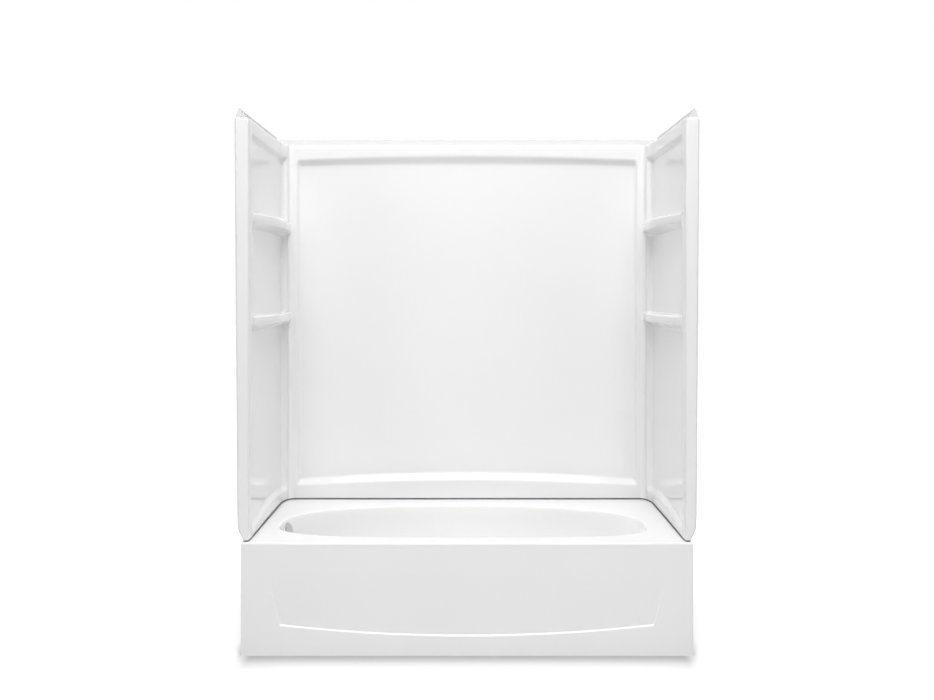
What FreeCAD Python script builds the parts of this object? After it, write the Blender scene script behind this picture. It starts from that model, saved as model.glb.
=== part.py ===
import FreeCAD, Part
import math
import os

# A bath with an integral apron, in an alcove of three wall panels with moulded shelves.
# Millimetres, +Z up. The origin is on the floor, in the middle of the bath's footprint.
# The apron faces -Y. A setback is a distance behind the apron's face, along +Y.

Vector = FreeCAD.Vector

# The bath
bath_width = 1524.0
bath_depth = 737.0
deck_height = 381.0
bath_skin = 5.0
deck_edge_round = 9.0
bath_corner_round = 3.0
skirt_height = 20.0
apron_return = 46.0
apron_hem = 24.0

# The shallow panel pressed into the apron: flush at its top, deepest along its curved foot
apron_panel_head_inset = 106.0
apron_panel_depth = 6.5
apron_panel_bevel = 5.0
apron_panel_side_inset = 102.0
apron_panel_side_bow = 7.0
apron_panel_side_taper = 29.0
apron_panel_bow_rise = 125.0
apron_panel_foot_rise = 36.0
apron_panel_foot_height = 65.0

# The basin: the ledges round it, its half towards the apron, its rounds and its leaning ends
basin_ledge_left = 80.0
basin_ledge_right = 110.0
basin_ledge_front = 67.0
basin_ledge_back = 122.0
basin_front_half = 233.0
basin_floor = 46.0
basin_rim_round = 8.0
basin_rim_lift = 0.4
basin_foot_round = 70.0
basin_lean_drain_end = 24.0
basin_lean_rest_end = 168.0
basin_lean_side = 30.0
rim_turns = (0, 35, 62)
wall_shares = (0, 0.25, 0.5, 0.75, 1)
foot_turns = (22, 42, 60, 76, 90)
front_powers_at_rim = (3.3, 3.9)
front_power_at_floor = 2.8
back_powers_at_rim = (2.3, 2.05)
back_power_at_floor = 2.7
rest_power = 1.15
outline_points = 48

# Waste and overflow holes, in the left end of the basin
waste_radius = 25.5
waste_from_ledge = 162.0
waste_behind_widest = 48.0
waste_dish_radius = 47.0
waste_dish_depth = 3.0
overflow_radius = 36.5
overflow_under_deck = 59.0
overflow_pad_radius = 46.0
overflow_pad_sink = 6.0

# The upstand round the deck, and the seals and tabs that meet it
upstand_height = 30.0
upstand_thickness = 5.0
upstand_end_inset = 4.5
upstand_front = 36.0
upstand_slack = 0.2
seal_thickness = 2.0
foot_gap = 5.0
seal_setback = 1.0

# The wall panels. Feet and heads of recesses are measured from the walls' own foot and top
wall_skin = 4.0
wall_height = 1429.5
wall_top_round = 12.0
back_flange_rise = 25.0
back_flange_inset = 6.0
end_flange_rise = 30.0
end_flange_overhang = 10.5
end_flange_end = 47.0
flange_proud = 0.5
flange_thickness = 4.0
back_wall_thickness = 30.0
corner_clearance = 0.4
upstand_clearance = 1.5
end_front_setback = 10.0
end_face_inset = 26.5
end_flare = 4.9
end_flare_run = 42.0
end_turn = 12.3
end_turn_run = 67.0
end_rear_clearance = 2.0
end_brow_round = 9.0
lip_overhang_top = 24.0
lip_overhang_foot = 14.8
lip_return = 16.0
lip_outer_round = 9.0
lip_inner_round = 4.0
lip_foot_cut_height = 48.0
lip_foot_cut_width = 19.0
lip_foot_cut_bulge = 9.0
gusset_setback = 4.0
gusset_foot_drop = 6.0
gusset_inset = 1.0

# Towards its ends the back wall's face turns forward, up to the end walls' faces
back_turn_radius = 20.0
back_turn_land = 1.3

# The recess of the back wall: its borders, and the bevels from them to the sunk panel
back_recess_depth = 19.0
back_side_border = 32.0
back_side_bevel = 12.0
back_foot_border_end = 54.0
back_foot_border_centre = 72.5
back_foot_bevel_end = 18.4
back_foot_bevel_centre = 29.5
back_head_border_end = 60.0
back_head_border_centre = 43.0
back_head_bevel_end = 20.0
back_head_bevel_centre = 28.0

# The recess of each end wall
end_recess_depth = 11.0
end_front_border = 50.0
end_back_border = 33.0
end_side_bevel = 10.5
end_foot_border_front = 18.0
end_foot_border_centre = 46.0
end_foot_border_back = 38.0
end_foot_bevel_front = 17.0
end_foot_bevel_centre = 18.0
end_foot_bevel_back = 15.0
end_head_border_end = 48.0
end_head_border_centre = 51.0
end_head_bevel = 17.0
recess_corner_round = 9.0

# The two shelves of each end wall, their tops measured from the walls' foot
shelf_rises = (1112.0, 756.0)
shelf_height = 32.0
shelf_under_drop = 22.0
shelf_front = 66.0
shelf_widest = 420.0
shelf_reach_front = 2.0
shelf_reach_widest = 45.0
shelf_reach_back = 20.0
shelf_edge_round = 8.0
shelf_end_clearance = 0.6

# Ribs and bands behind the wall panels, evenly spaced
rib_thickness = 3.0
rib_setback = 4.0
back_rib_count = 5
back_band_count = 3
end_rib_count = 3
end_band_count = 4

# Spring clips over the joint flanges
clip_metal = 1.2
clip_width = 25.0
clip_grip = 16.0
clip_slack = 0.2
deck_clip_back_count = 5
deck_clip_end_count = 3

# Rails bonded under the deck
rail_width = 40.0
rail_height = 15.0
rail_front_inset = 9.0
rail_back_inset = 32.0
rail_end_inset = 10.0
rail_end_gap = 12.0

# The board under the basin's floor, the bearers under it, and their pads and screws
board_thickness = 12.0
board_left_inset = 107.0
board_right_inset = 263.0
board_front_inset = 123.0
board_back_inset = 123.0
board_corner = 40.0
board_waste_radius = 62.0
bearer_count = 3
bearer_width = 46.0
bearer_front = 34.0
bearer_back_inset = 37.0
pad_thickness = 5.0
pad_length = 70.0
pad_inset = 6.0
screw_radius = 2.4
screw_head_radius = 4.6
screw_head_height = 2.6
screw_grip_in_board = 6.6
screw_count = 3
screw_clearance = 0.15
screw_sink = 0.6

overrun = 3.0
tiny = 0.001

# Places that follow from the sizes
half_width = bath_width / 2
deck_under = deck_height - bath_skin
basin_under = basin_floor - bath_skin
basin_depth = deck_height - basin_floor
basin_left = half_width - basin_ledge_left
basin_right = half_width - basin_ledge_right
basin_widest = basin_ledge_front + basin_front_half
basin_back = bath_depth - basin_ledge_back
basin_shift = (basin_right - basin_left) / 2
waste_x = waste_from_ledge - basin_left
waste_setback = basin_widest + waste_behind_widest
overflow_height = deck_height - overflow_under_deck
overflow_pad_x = overflow_pad_sink - basin_left
apron_panel_head = deck_height - apron_panel_head_inset

foot_level = deck_height + foot_gap
wall_top = foot_level + wall_height
upstand_top = deck_height + upstand_height
flange_face = bath_depth - flange_thickness
upstand_rear = flange_face - upstand_slack
upstand_rear_front = upstand_rear - upstand_thickness
tab_rear = upstand_rear_front - seal_thickness
tab_front = tab_rear - wall_skin
upstand_end_outer = half_width - upstand_end_inset
upstand_end_inner = upstand_end_outer - upstand_thickness
tab_end_outer = upstand_end_inner - seal_thickness
tab_end_inner = tab_end_outer - wall_skin

back_face = bath_depth - back_wall_thickness
corner_setback = back_face - back_turn_radius
end_rear = flange_face - end_rear_clearance
end_face = half_width - end_face_inset
end_corner = end_face - end_turn
end_straight_front = end_front_setback + end_flare_run
end_straight_back = corner_setback - end_turn_run
end_flange_face = half_width + end_flange_overhang
end_outer = end_flange_face - flange_proud
back_half_width = end_corner - corner_clearance
back_turn_start = back_half_width - back_turn_land - back_turn_radius
back_flange_half_width = end_flange_face - back_flange_inset
lip_half_width_top = half_width + lip_overhang_top
lip_half_width_foot = half_width + lip_overhang_foot
board_top = basin_under
board_under = board_top - board_thickness


def y_at(setback):
    return setback - bath_depth / 2


def box(x_span, setback_span, z_span):
    corner = Vector(x_span[0], y_at(setback_span[0]), z_span[0])
    return Part.makeBox(x_span[1] - x_span[0], setback_span[1] - setback_span[0],
                        z_span[1] - z_span[0], corner)


def seen_from_top(z):
    return lambda point: Vector(point[0], y_at(point[1]), z)


def seen_from_front(setback):
    return lambda point: Vector(point[0], y_at(setback), point[1])


def seen_from_side(x):
    return lambda point: Vector(x, y_at(point[0]), point[1])


def outline(start, steps, place):
    """A closed wire. A step is one point for a straight run, or two for an arc's middle and end."""
    edges = []
    here = place(start)
    for step in steps:
        there = place(step[-1])
        if len(step) == 1:
            edges.append(Part.makeLine(here, there))
        else:
            edges.append(Part.Arc(here, place(step[0]), there).toShape())
        here = there
    if here.distanceToPoint(place(start)) > 0:
        edges.append(Part.makeLine(here, place(start)))
    return Part.Wire(edges)


def bend(x, setback, turn, run):
    """Middle and end of an arc that leaves a face square to the apron, and moves it this far in X."""
    radius = (turn ** 2 + run ** 2) / (2 * abs(turn))
    half_angle = math.atan(abs(turn / run))
    middle = (x + math.copysign(radius * (1 - math.cos(half_angle)), turn),
              setback + math.copysign(radius * math.sin(half_angle), run))
    return middle, (x + turn, setback + run)


def polygon(points, place):
    return outline(points[0], [(point,) for point in points[1:]], place)


def prism(wire, run):
    return Part.Face(wire).extrude(run)


def slab_in_plan(points, z_span):
    return prism(polygon(points, seen_from_top(z_span[0])), Vector(0, 0, z_span[1] - z_span[0]))


def spread_evenly(low, high, count):
    """Places that split the span from low to high into equal stretches."""
    return [low + (high - low) * (number + 1) / (count + 1) for number in range(count)]


def edges_where(shape, test):
    return [edge for edge in shape.Edges if test(edge.CenterOfMass, edge.BoundBox)]


def joined(first, others):
    return first.fuse(others).removeSplitter()


def mirrored(shape):
    return shape.mirror(Vector(0, 0, 0), Vector(1, 0, 0))


def save(node, solids):
    shape = solids[0] if len(solids) == 1 else Part.makeCompound(solids)
    shape.exportStep(f"parts/{node}.step")
    volume = sum(solid.Volume for solid in solids)
    print(f"{node}: {len(shape.Solids)} solids, {volume / 1000:.1f} cm3, valid {shape.isValid()}")


# The bath shell


def bath_block(inset):
    """The bath's outside, or with an inset the room under its skin, open to the floor."""
    top = deck_height - inset
    foot = 0 if inset == 0 else -overrun
    turn = deck_edge_round * (1 - math.sqrt(0.5))
    start = (inset, foot)
    steps = [
        ((inset, deck_height - deck_edge_round),),
        ((turn + inset * math.sqrt(0.5), deck_height - turn - inset * math.sqrt(0.5)),
         (deck_edge_round, top)),
        ((bath_depth - inset, top),),
        ((bath_depth - inset, foot),),
    ]
    half = half_width - inset
    block = prism(outline(start, steps, seen_from_side(-half)), Vector(2 * half, 0, 0))
    if inset == 0:
        ends = edges_where(block, lambda middle, span: span.XLength < 1e-6 and span.ZMax > 1e-6)
        block = block.makeFillet(bath_corner_round, ends)
    return block


def apron_panel(grow):
    """What the pressed panel takes out of the apron, or out of the room behind it."""
    def panel_outline(setback, spread):
        half_top = half_width - apron_panel_side_inset + spread
        half_foot = half_top - apron_panel_side_taper
        half_bow = half_top - apron_panel_side_bow
        foot_end = apron_panel_foot_height + apron_panel_foot_rise - spread
        head = apron_panel_head + overrun
        bow = apron_panel_foot_height + apron_panel_bow_rise
        steps = [
            ((0, apron_panel_foot_height - spread), (half_foot, foot_end)),
            ((half_bow, bow), (half_top, head)),
            ((-half_top, head),),
            ((-half_bow, bow), (-half_foot, foot_end)),
        ]
        return outline((-half_foot, foot_end), steps, seen_from_front(setback))

    slope = apron_panel_depth / (apron_panel_head - apron_panel_foot_height)
    bevel = apron_panel_bevel / apron_panel_depth
    deep = apron_panel_depth + grow + overrun
    pocket = Part.makeLoft([panel_outline(-overrun, grow + bevel * (overrun + grow)),
                            panel_outline(deep, grow + bevel * (grow - deep))], True, True)
    low = apron_panel_foot_height - grow - apron_panel_depth - overrun
    head = apron_panel_head + overrun
    wedge = [
        (-overrun, head),
        (grow - slope * overrun, head),
        (grow + slope * (apron_panel_head - low), low),
        (-overrun, low),
    ]
    front = prism(polygon(wedge, seen_from_side(-half_width)), Vector(bath_width, 0, 0))
    return pocket.common(front)


def basin_outline(drop, skin):
    """One level of the basin, this far below the deck: four part superellipses in one curve."""
    radius = basin_rim_round - skin
    into_rim = min(max(drop - skin + basin_rim_lift, 0), radius)
    rim = math.sqrt(radius ** 2 - (radius - into_rim) ** 2)
    foot_radius = basin_foot_round + skin
    depth = basin_depth + skin
    into_foot = min(max((drop - depth + foot_radius) / foot_radius, 0), 1)
    foot = foot_radius * (1 - math.sqrt(1 - into_foot ** 2))
    share = max(drop / basin_depth, 0)
    side_lean = basin_lean_side * share
    left = (basin_left + basin_right) / 2 - rim - foot - basin_lean_drain_end * share
    right = (basin_left + basin_right) / 2 - rim - foot - basin_lean_rest_end * share ** rest_power
    front = basin_front_half - rim - foot - side_lean
    back = basin_back - basin_widest - rim - foot - side_lean
    front_powers = [rim_power + (front_power_at_floor - rim_power) * share
                    for rim_power in front_powers_at_rim]
    back_powers = [rim_power + (back_power_at_floor - rim_power) * share
                   for rim_power in back_powers_at_rim]
    points = []
    for step in range(outline_points):
        angle = 2 * math.pi * step / outline_points
        across, along = math.cos(angle), math.sin(angle)
        powers = back_powers if along >= 0 else front_powers
        power = powers[1] if across >= 0 else powers[0]
        half_x = right if across >= 0 else left
        half_y = back if along >= 0 else front
        x = basin_shift + half_x * math.copysign(abs(across) ** (2 / power), across)
        setback = basin_widest + half_y * math.copysign(abs(along) ** (2 / power), along)
        points.append(Vector(x, y_at(setback), deck_height - drop))
    curve = Part.BSplineCurve()
    curve.interpolate(points, PeriodicFlag=True)
    return Part.Wire([curve.toShape()])


def basin_body(skin):
    """The basin's hollow, or with a skin its outside below the deck."""
    radius = basin_rim_round - skin
    top = skin - basin_rim_lift
    drops = [top + radius * (1 - math.cos(math.radians(turn))) for turn in rim_turns]
    foot_radius = basin_foot_round + skin
    depth = basin_depth + skin
    foot_start = depth - foot_radius
    rim_end = top + radius
    drops += [rim_end + (foot_start - rim_end) * share for share in wall_shares]
    drops += [foot_start + foot_radius * math.sin(math.radians(turn)) for turn in foot_turns]
    return Part.makeLoft([basin_outline(drop, skin) for drop in drops], True, False)


def tube_along_x(radius, x_span, setback, z):
    return Part.makeCylinder(radius, x_span[1] - x_span[0], Vector(x_span[0], y_at(setback), z),
                             Vector(1, 0, 0))


def upright_cylinder(radius, height, x, setback, z):
    return Part.makeCylinder(radius, height, Vector(x, y_at(setback), z))


def make_bath():
    shell = bath_block(0).cut(bath_block(bath_skin).cut(apron_panel(bath_skin)))
    shell = shell.cut(apron_panel(0))
    below = box((-half_width - overrun, half_width + overrun),
                (apron_return, bath_depth + overrun), (-overrun, deck_height - skirt_height))
    shell = shell.cut(below)
    hem = box((-half_width + bath_corner_round, half_width - bath_corner_round),
              (bath_skin / 2, bath_skin + apron_hem), (0, bath_skin))
    into_basin = overflow_pad_x + 2 * overflow_radius
    boss = tube_along_x(overflow_pad_radius + bath_skin, (overflow_pad_x - bath_skin, into_basin),
                        waste_setback, overflow_height)
    dish_foot = basin_floor - waste_dish_depth
    dish_boss = upright_cylinder(waste_dish_radius + bath_skin, bath_skin,
                                 waste_x, waste_setback, dish_foot - bath_skin)
    shell = shell.fuse([hem, basin_body(bath_skin), boss, dish_boss])
    pad = tube_along_x(overflow_pad_radius, (overflow_pad_x, into_basin), waste_setback, overflow_height)
    dish = Part.makeCone(waste_radius, waste_dish_radius, waste_dish_depth,
                         Vector(waste_x, y_at(waste_setback), dish_foot))
    waste = upright_cylinder(waste_radius, bath_skin + waste_dish_depth + 2 * overrun,
                             waste_x, waste_setback, dish_foot - bath_skin - overrun)
    overflow = tube_along_x(overflow_radius, (overflow_pad_x - bath_skin - overrun, into_basin),
                            waste_setback, overflow_height)
    shell = shell.cut([basin_body(0), pad, dish, waste, overflow])
    upstand = box((-upstand_end_outer, upstand_end_outer), (upstand_front, upstand_rear),
                  (deck_height - bath_skin / 2, upstand_top))
    upstand = upstand.cut(box((-upstand_end_inner, upstand_end_inner),
                              (upstand_front - overrun, upstand_rear_front),
                              (deck_under, upstand_top + overrun)))
    return joined(shell, [upstand])


# The back wall


def back_front(inset):
    """Steps along the back wall's face in plan, from right to left, or this far behind that face."""
    radius = back_turn_radius + inset
    reach = min(back_half_width - inset - back_turn_start, radius)
    first = math.acos(reach / radius)

    def on_turn(angle, side):
        return (side * (back_turn_start + radius * math.cos(angle)),
                corner_setback + radius * math.sin(angle))

    middle, last = (first + math.pi / 2) / 2, math.pi / 2
    return [(on_turn(first, 1),), (on_turn(middle, 1), on_turn(last, 1)), (on_turn(last, -1),),
            (on_turn(middle, -1), on_turn(first, -1))]


def back_slab(inset, z_span):
    """A slab with the back wall's plan, or with an inset the plan of the room behind its skin."""
    side = back_half_width - inset
    rear = bath_depth + inset
    steps = back_front(inset)
    if inset == 0:
        front = corner_setback - 2 * wall_top_round
        outer = back_half_width + 2 * wall_top_round
        steps = [((outer, front),), ((back_turn_start + back_turn_radius, front),)] + steps
        steps += [((-back_turn_start - back_turn_radius, front),), ((-outer, front),)]
        side = outer
    wire = outline((side, rear), steps + [((-side, rear),)], seen_from_top(z_span[0]))
    return prism(wire, Vector(0, 0, z_span[1] - z_span[0]))


def back_recess(grow):
    """What the sunk panel takes out of the back wall, or out of the room behind it."""
    def rim(setback, half_x, foot, head):
        steps = [
            ((0, foot[1]), (half_x, foot[0])),
            ((half_x, head[0]),),
            ((0, head[1]), (-half_x, head[0])),
        ]
        return outline((-half_x, foot[0]), steps, seen_from_front(setback))

    half = back_half_width - back_side_border + grow
    foot = [foot_level + border - grow for border in (back_foot_border_end, back_foot_border_centre)]
    head = [wall_top - border + grow for border in (back_head_border_end, back_head_border_centre)]
    sunk_foot = (foot[0] + back_foot_bevel_end, foot[1] + back_foot_bevel_centre)
    sunk_head = (head[0] - back_head_bevel_end, head[1] - back_head_bevel_centre)
    return Part.makeLoft([rim(back_face, half, foot, head),
                          rim(back_face + back_recess_depth + grow, half - back_side_bevel,
                              sunk_foot, sunk_head)], True, True)


def make_back_wall():
    half = back_half_width
    block = back_slab(0, (foot_level, wall_top))
    edge = back_turn_start + back_turn_radius + tiny
    brow = edges_where(block, lambda middle, span: span.ZMin > wall_top - tiny
                       and span.YMax < y_at(back_face) + tiny and abs(span.XMin) < edge
                       and abs(span.XMax) < edge)
    block = block.makeFillet(wall_top_round, brow)
    block = block.common(box((-half, half), (corner_setback, bath_depth), (foot_level, wall_top)))
    room = back_slab(wall_skin, (foot_level + wall_skin, wall_top - wall_skin))
    room = room.cut(back_recess(wall_skin))
    wall = block.cut(back_recess(0)).cut(room)
    flange = box((-back_flange_half_width, back_flange_half_width), (flange_face, bath_depth),
                 (foot_level, wall_top + back_flange_rise))
    flange = flange.cut(box((-half + wall_skin, half - wall_skin),
                            (flange_face - overrun, bath_depth + overrun),
                            (foot_level - overrun, wall_top - wall_skin)))
    ribs = []
    rear = bath_depth - rib_setback
    for x in spread_evenly(-half, half, back_rib_count):
        ribs.append(box((x - rib_thickness / 2, x + rib_thickness / 2),
                        (back_face, rear), (foot_level, wall_top)))
    for z in spread_evenly(foot_level, wall_top, back_band_count):
        ribs.append(box((-half, half), (back_face, rear),
                        (z - rib_thickness / 2, z + rib_thickness / 2)))
    grid = ribs[0].fuse(ribs[1:]).common(room)
    wall = wall.fuse([flange, grid])
    tab = box((-half, half), (tab_front, tab_rear), (foot_level + wall_skin / 2, upstand_top))
    notch = box((-half - overrun, half + overrun), (tab_front - overrun, flange_face),
                (foot_level - overrun, upstand_top + upstand_clearance))
    keep = box((-half, half), (back_face, tab_rear), (foot_level, foot_level + wall_skin))
    wall = joined(wall.cut(notch), [tab, keep])
    return cut_clip_seats(wall)


def cut_clip_seats(wall):
    """Seats in the rear of the side flanges, so that the clips' legs lie flush."""
    seats = []
    for side in (-1, 1):
        inner = end_flange_face - clip_grip
        outer = end_flange_face + overrun
        span = (inner, outer) if side > 0 else (-outer, -inner)
        for z in corner_clip_places():
            seats.append(box(span, (bath_depth - clip_metal, bath_depth + overrun),
                             (z - clip_width / 2 - clip_slack, z + clip_width / 2 + clip_slack)))
    return wall.cut(seats)


# The end walls: the right one is built, and the left one is its mirror image


def end_slab(inset, z_span):
    """A slab with the end wall's plan: its face flares at the apron and turns in at the corner."""
    face, front, rear = end_face + inset, end_front_setback + inset, end_rear - inset
    outer = end_outer if inset == 0 else end_outer - wall_skin
    flare_middle, flare_end = bend(face, end_straight_front, end_flare, front - end_straight_front)
    turn_middle, turn_end = bend(face, end_straight_back, -end_turn, end_turn_run)
    drift = (rear - corner_setback) * math.tan(2 * math.atan(end_turn / end_turn_run))
    steps = [
        (flare_middle, (face, end_straight_front)),
        ((face, end_straight_back),),
        (turn_middle, turn_end),
        ((turn_end[0] - drift, rear),),
        ((outer, rear),),
        ((outer, front),),
    ]
    wire = outline(flare_end, steps, seen_from_top(z_span[0]))
    return prism(wire, Vector(0, 0, z_span[1] - z_span[0]))


def beside_back_wall(inset):
    """The space of the back wall, beside which the end wall's face runs straight to the rear."""
    return box((back_turn_start, end_corner + inset), (corner_setback, bath_depth),
               (0, wall_top + overrun))


def end_recess(grow):
    """What the sunk panel takes out of the end wall, or out of the room behind it."""
    span = (end_front_setback + end_front_border - grow, back_face - end_back_border + grow)
    middle = (span[0] + span[1]) / 2
    feet = [foot_level + border - grow
            for border in (end_foot_border_front, end_foot_border_centre, end_foot_border_back)]
    foot_bevels = (end_foot_bevel_front, end_foot_bevel_centre, end_foot_bevel_back)
    heads = [wall_top - border + grow
             for border in (end_head_border_end, end_head_border_centre, end_head_border_end)]

    def rim(depth):
        share = depth / (end_recess_depth + grow)
        front, back = span[0] + end_side_bevel * share, span[1] - end_side_bevel * share
        foot = [level + bevel * share for level, bevel in zip(feet, foot_bevels)]
        head = [level - end_head_bevel * share for level in heads]
        steps = [
            ((middle, foot[1]), (back, foot[2])),
            ((back, head[2]),),
            ((middle, head[1]), (front, head[0])),
        ]
        return outline((front, foot[0]), steps, seen_from_side(end_face + depth))

    recess = Part.makeLoft([rim(-end_turn), rim(end_recess_depth + grow)], True, True)
    corners = edges_where(recess, lambda middle, span: span.XLength > end_recess_depth)
    return recess.makeFillet(recess_corner_round, corners)


def end_bands():
    return spread_evenly(foot_level, wall_top, end_band_count)


def shelf_tops():
    return [foot_level + rise for rise in shelf_rises]


def shelf(top, inset):
    """A bow-fronted shelf, or with an inset the hollow inside it, open towards the studs."""
    front = shelf_front + inset
    back = back_face - shelf_end_clearance - inset
    base = end_face + end_recess_depth + (end_outer - end_face if inset else wall_skin / 2)
    low, high = top - shelf_height + inset, top - inset
    foot = low - shelf_under_drop

    def plan(z, steps):
        return outline((base, front), steps + [((base, back),)], seen_from_top(z))

    lip = [end_face - reach + inset for reach in (shelf_reach_front, shelf_reach_widest, shelf_reach_back)]
    bow = [((lip[0], front),), ((lip[1], shelf_widest), (lip[2], back))]
    at_panel = end_face + end_recess_depth + inset
    straight = [((at_panel, front),), ((at_panel, back),)]
    body = prism(plan(low, bow), Vector(0, 0, high - low))
    under = Part.makeLoft([plan(foot, straight), plan(low, bow)], True, True)
    if inset == 0:
        upper = edges_where(body, lambda middle, span: span.ZMin > high - tiny
                            and span.YLength > (back - front) / 2 and middle.x < end_face)
        body = body.makeFillet(shelf_edge_round, upper)
    return body.fuse(under).cut(clear_of_back_wall(inset))


def clear_of_back_wall(inset):
    """The back wall's space with a clearance, for the shelves' rear ends."""
    radius = back_turn_radius - shelf_end_clearance - inset
    edge = corner_setback - shelf_end_clearance - inset
    steps = [
        ((end_corner + inset, edge),),
        ((back_turn_start + radius, edge),),
        ((back_turn_start + radius, corner_setback),),
        ((back_turn_start + radius * math.sqrt(0.5), corner_setback + radius * math.sqrt(0.5)),
         (back_turn_start, corner_setback + radius)),
        ((0, corner_setback + radius),),
        ((0, bath_depth),),
    ]
    wire = outline((end_corner + inset, bath_depth), steps, seen_from_top(foot_level))
    return prism(wire, Vector(0, 0, wall_height))


def lip_half_width(z):
    share = (z - foot_level) / (wall_top - foot_level)
    return lip_half_width_foot + (lip_half_width_top - lip_half_width_foot) * share


def lip_front(inset):
    """The lip's block across the front of the end wall, rolled back at its outer edge."""
    low, high = foot_level + inset, wall_top - inset
    inner = end_face + end_flare + lip_inner_round + inset
    points = [(inner, low), (lip_half_width(low) - inset, low),
              (lip_half_width(high) - inset, high), (inner, high)]
    run = Vector(0, lip_return - inset if inset == 0 else lip_return + overrun - inset, 0)
    return prism(polygon(points, seen_from_front(end_front_setback + inset)), run)


def lip_foot_cut():
    """What rounds off the lip's outer corner over the deck."""
    corner = lip_half_width_foot + overrun
    low, high = foot_level - overrun, foot_level + lip_foot_cut_height + overrun
    start = (lip_half_width_foot - lip_foot_cut_width, low)
    middle = (lip_half_width_foot - lip_foot_cut_bulge, foot_level + lip_foot_cut_height / 2 - overrun)
    wire = outline(start, [(middle, (corner, high)), ((corner + lip_outer_round, low),)],
                   seen_from_front(end_front_setback - overrun))
    return prism(wire, Vector(0, lip_return + 2 * overrun, 0))


def end_wall_block():
    """The end wall's outside, with its lip and its rounded front and top edges."""
    block = end_slab(0, (foot_level, wall_top)).fuse(lip_front(0)).removeSplitter()
    front_y = y_at(end_front_setback) + tiny

    def upright(middle, span):
        return span.YMax < front_y and span.ZLength > wall_height / 2

    outer = edges_where(block, lambda middle, span: upright(middle, span) and middle.x > end_outer)
    block = block.makeFillet(lip_outer_round, outer)
    inner = edges_where(block, lambda middle, span: upright(middle, span)
                        and middle.x < end_face + end_flare + tiny)
    block = block.makeFillet(lip_inner_round, inner)
    brow = edges_where(block, lambda middle, span: span.ZMin > wall_top - tiny
                       and (span.XMax < end_face + end_flare + lip_inner_round or span.YMax < front_y))
    return block.makeFillet(end_brow_round, brow).cut(beside_back_wall(0))


def end_flange_and_gusset():
    """The nailing flange over the end wall's top, and the gusset that stiffens its front end."""
    top = wall_top + end_flange_rise
    lip_rear = end_front_setback + lip_return + wall_skin
    levels = (wall_top - wall_skin, top)
    flange = box((end_flange_face - flange_thickness, end_flange_face),
                 (lip_rear, bath_depth - end_flange_end), levels)
    front = end_front_setback + gusset_setback
    outer = end_flange_face - gusset_inset
    stub = box((outer - flange_thickness, outer), (front, lip_rear + overrun), levels)
    low = wall_top - gusset_foot_drop
    points = [(end_face + end_flare + wall_skin, low), (lip_half_width_top - wall_skin / 2, low),
              (outer, top), (outer - flange_thickness, top)]
    gusset = prism(polygon(points, seen_from_front(front)), Vector(0, wall_skin, 0))
    return [flange, stub, gusset]


def make_end_wall():
    front, rear = end_front_setback, end_rear
    room = end_slab(wall_skin, (foot_level + wall_skin, wall_top - wall_skin))
    mouth = box((end_outer - wall_skin - tiny, end_flange_face + overrun),
                (front + lip_return, rear - wall_skin), (foot_level + wall_skin, wall_top - wall_skin))
    room = room.fuse([mouth, lip_front(wall_skin)]).cut(beside_back_wall(wall_skin))
    room = room.cut(end_recess(wall_skin))
    hollows = [shelf(top, wall_skin) for top in shelf_tops()]
    body = end_wall_block().cut(end_recess(0)).fuse([shelf(top, 0) for top in shelf_tops()])
    wall = body.cut(room).cut(hollows)
    ribs = []
    for setback in spread_evenly(front, rear, end_rib_count):
        ribs.append(box((end_corner, end_outer - rib_setback),
                        (setback - rib_thickness / 2, setback + rib_thickness / 2),
                        (foot_level, wall_top)))
    for z in end_bands():
        ribs.append(box((end_corner, end_outer - rib_setback), (front, rear),
                        (z - rib_thickness / 2, z + rib_thickness / 2)))
    grid = ribs[0].fuse(ribs[1:]).common(room).cut(hollows)
    tab = box((tab_end_inner, tab_end_outer), (upstand_front, tab_rear),
              (foot_level + wall_skin / 2, upstand_top))
    clip_side = tab_end_inner - clip_metal - clip_slack
    over_upstand = box((clip_side, lip_half_width_top), (upstand_front - overrun, rear),
                       (foot_level - overrun, upstand_top + upstand_clearance))
    rear_notch = box((end_corner - 2 * wall_skin, lip_half_width_top), (tab_rear, rear + overrun),
                     (foot_level - overrun, upstand_top + upstand_clearance))
    foot = end_slab(0, (foot_level, foot_level + wall_skin))
    foot = foot.cut(beside_back_wall(0)).common(
        box((0, tab_end_outer), (front + wall_skin, tab_rear), (0, wall_top)))
    wall = wall.fuse(end_flange_and_gusset() + [grid]).cut([over_upstand, rear_notch])
    return joined(wall, [tab, foot]).cut(lip_foot_cut())


# Seals


def make_back_seal():
    half = back_half_width - seal_setback
    steps = back_front(seal_setback) + [((-half, upstand_rear_front),)]
    strip = outline((half, upstand_rear_front), steps, seen_from_top(deck_height))
    riser = box((-half, half), (tab_rear, upstand_rear_front), (deck_height, upstand_top))
    return joined(prism(strip, Vector(0, 0, foot_gap)), [riser])


def make_end_seal():
    strip = end_slab(seal_setback, (deck_height, foot_level)).cut(beside_back_wall(seal_setback))
    strip = strip.common(box((0, upstand_end_inner), (0, upstand_rear_front), (0, wall_top)))
    riser = box((tab_end_outer, upstand_end_inner), (upstand_front, upstand_rear_front),
                (deck_height, upstand_top))
    return joined(strip, [riser])


def make_corner_seal():
    return box((end_corner + wall_skin, end_flange_face - wall_skin - clip_slack),
               (end_rear, flange_face), (upstand_top + upstand_clearance, wall_top - wall_skin))


# Clips


def corner_clip_places():
    """Heights halfway between the bands behind the end walls."""
    levels = [upstand_top] + end_bands() + [wall_top]
    return [(low + high) / 2 for low, high in zip(levels, levels[1:])]


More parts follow.
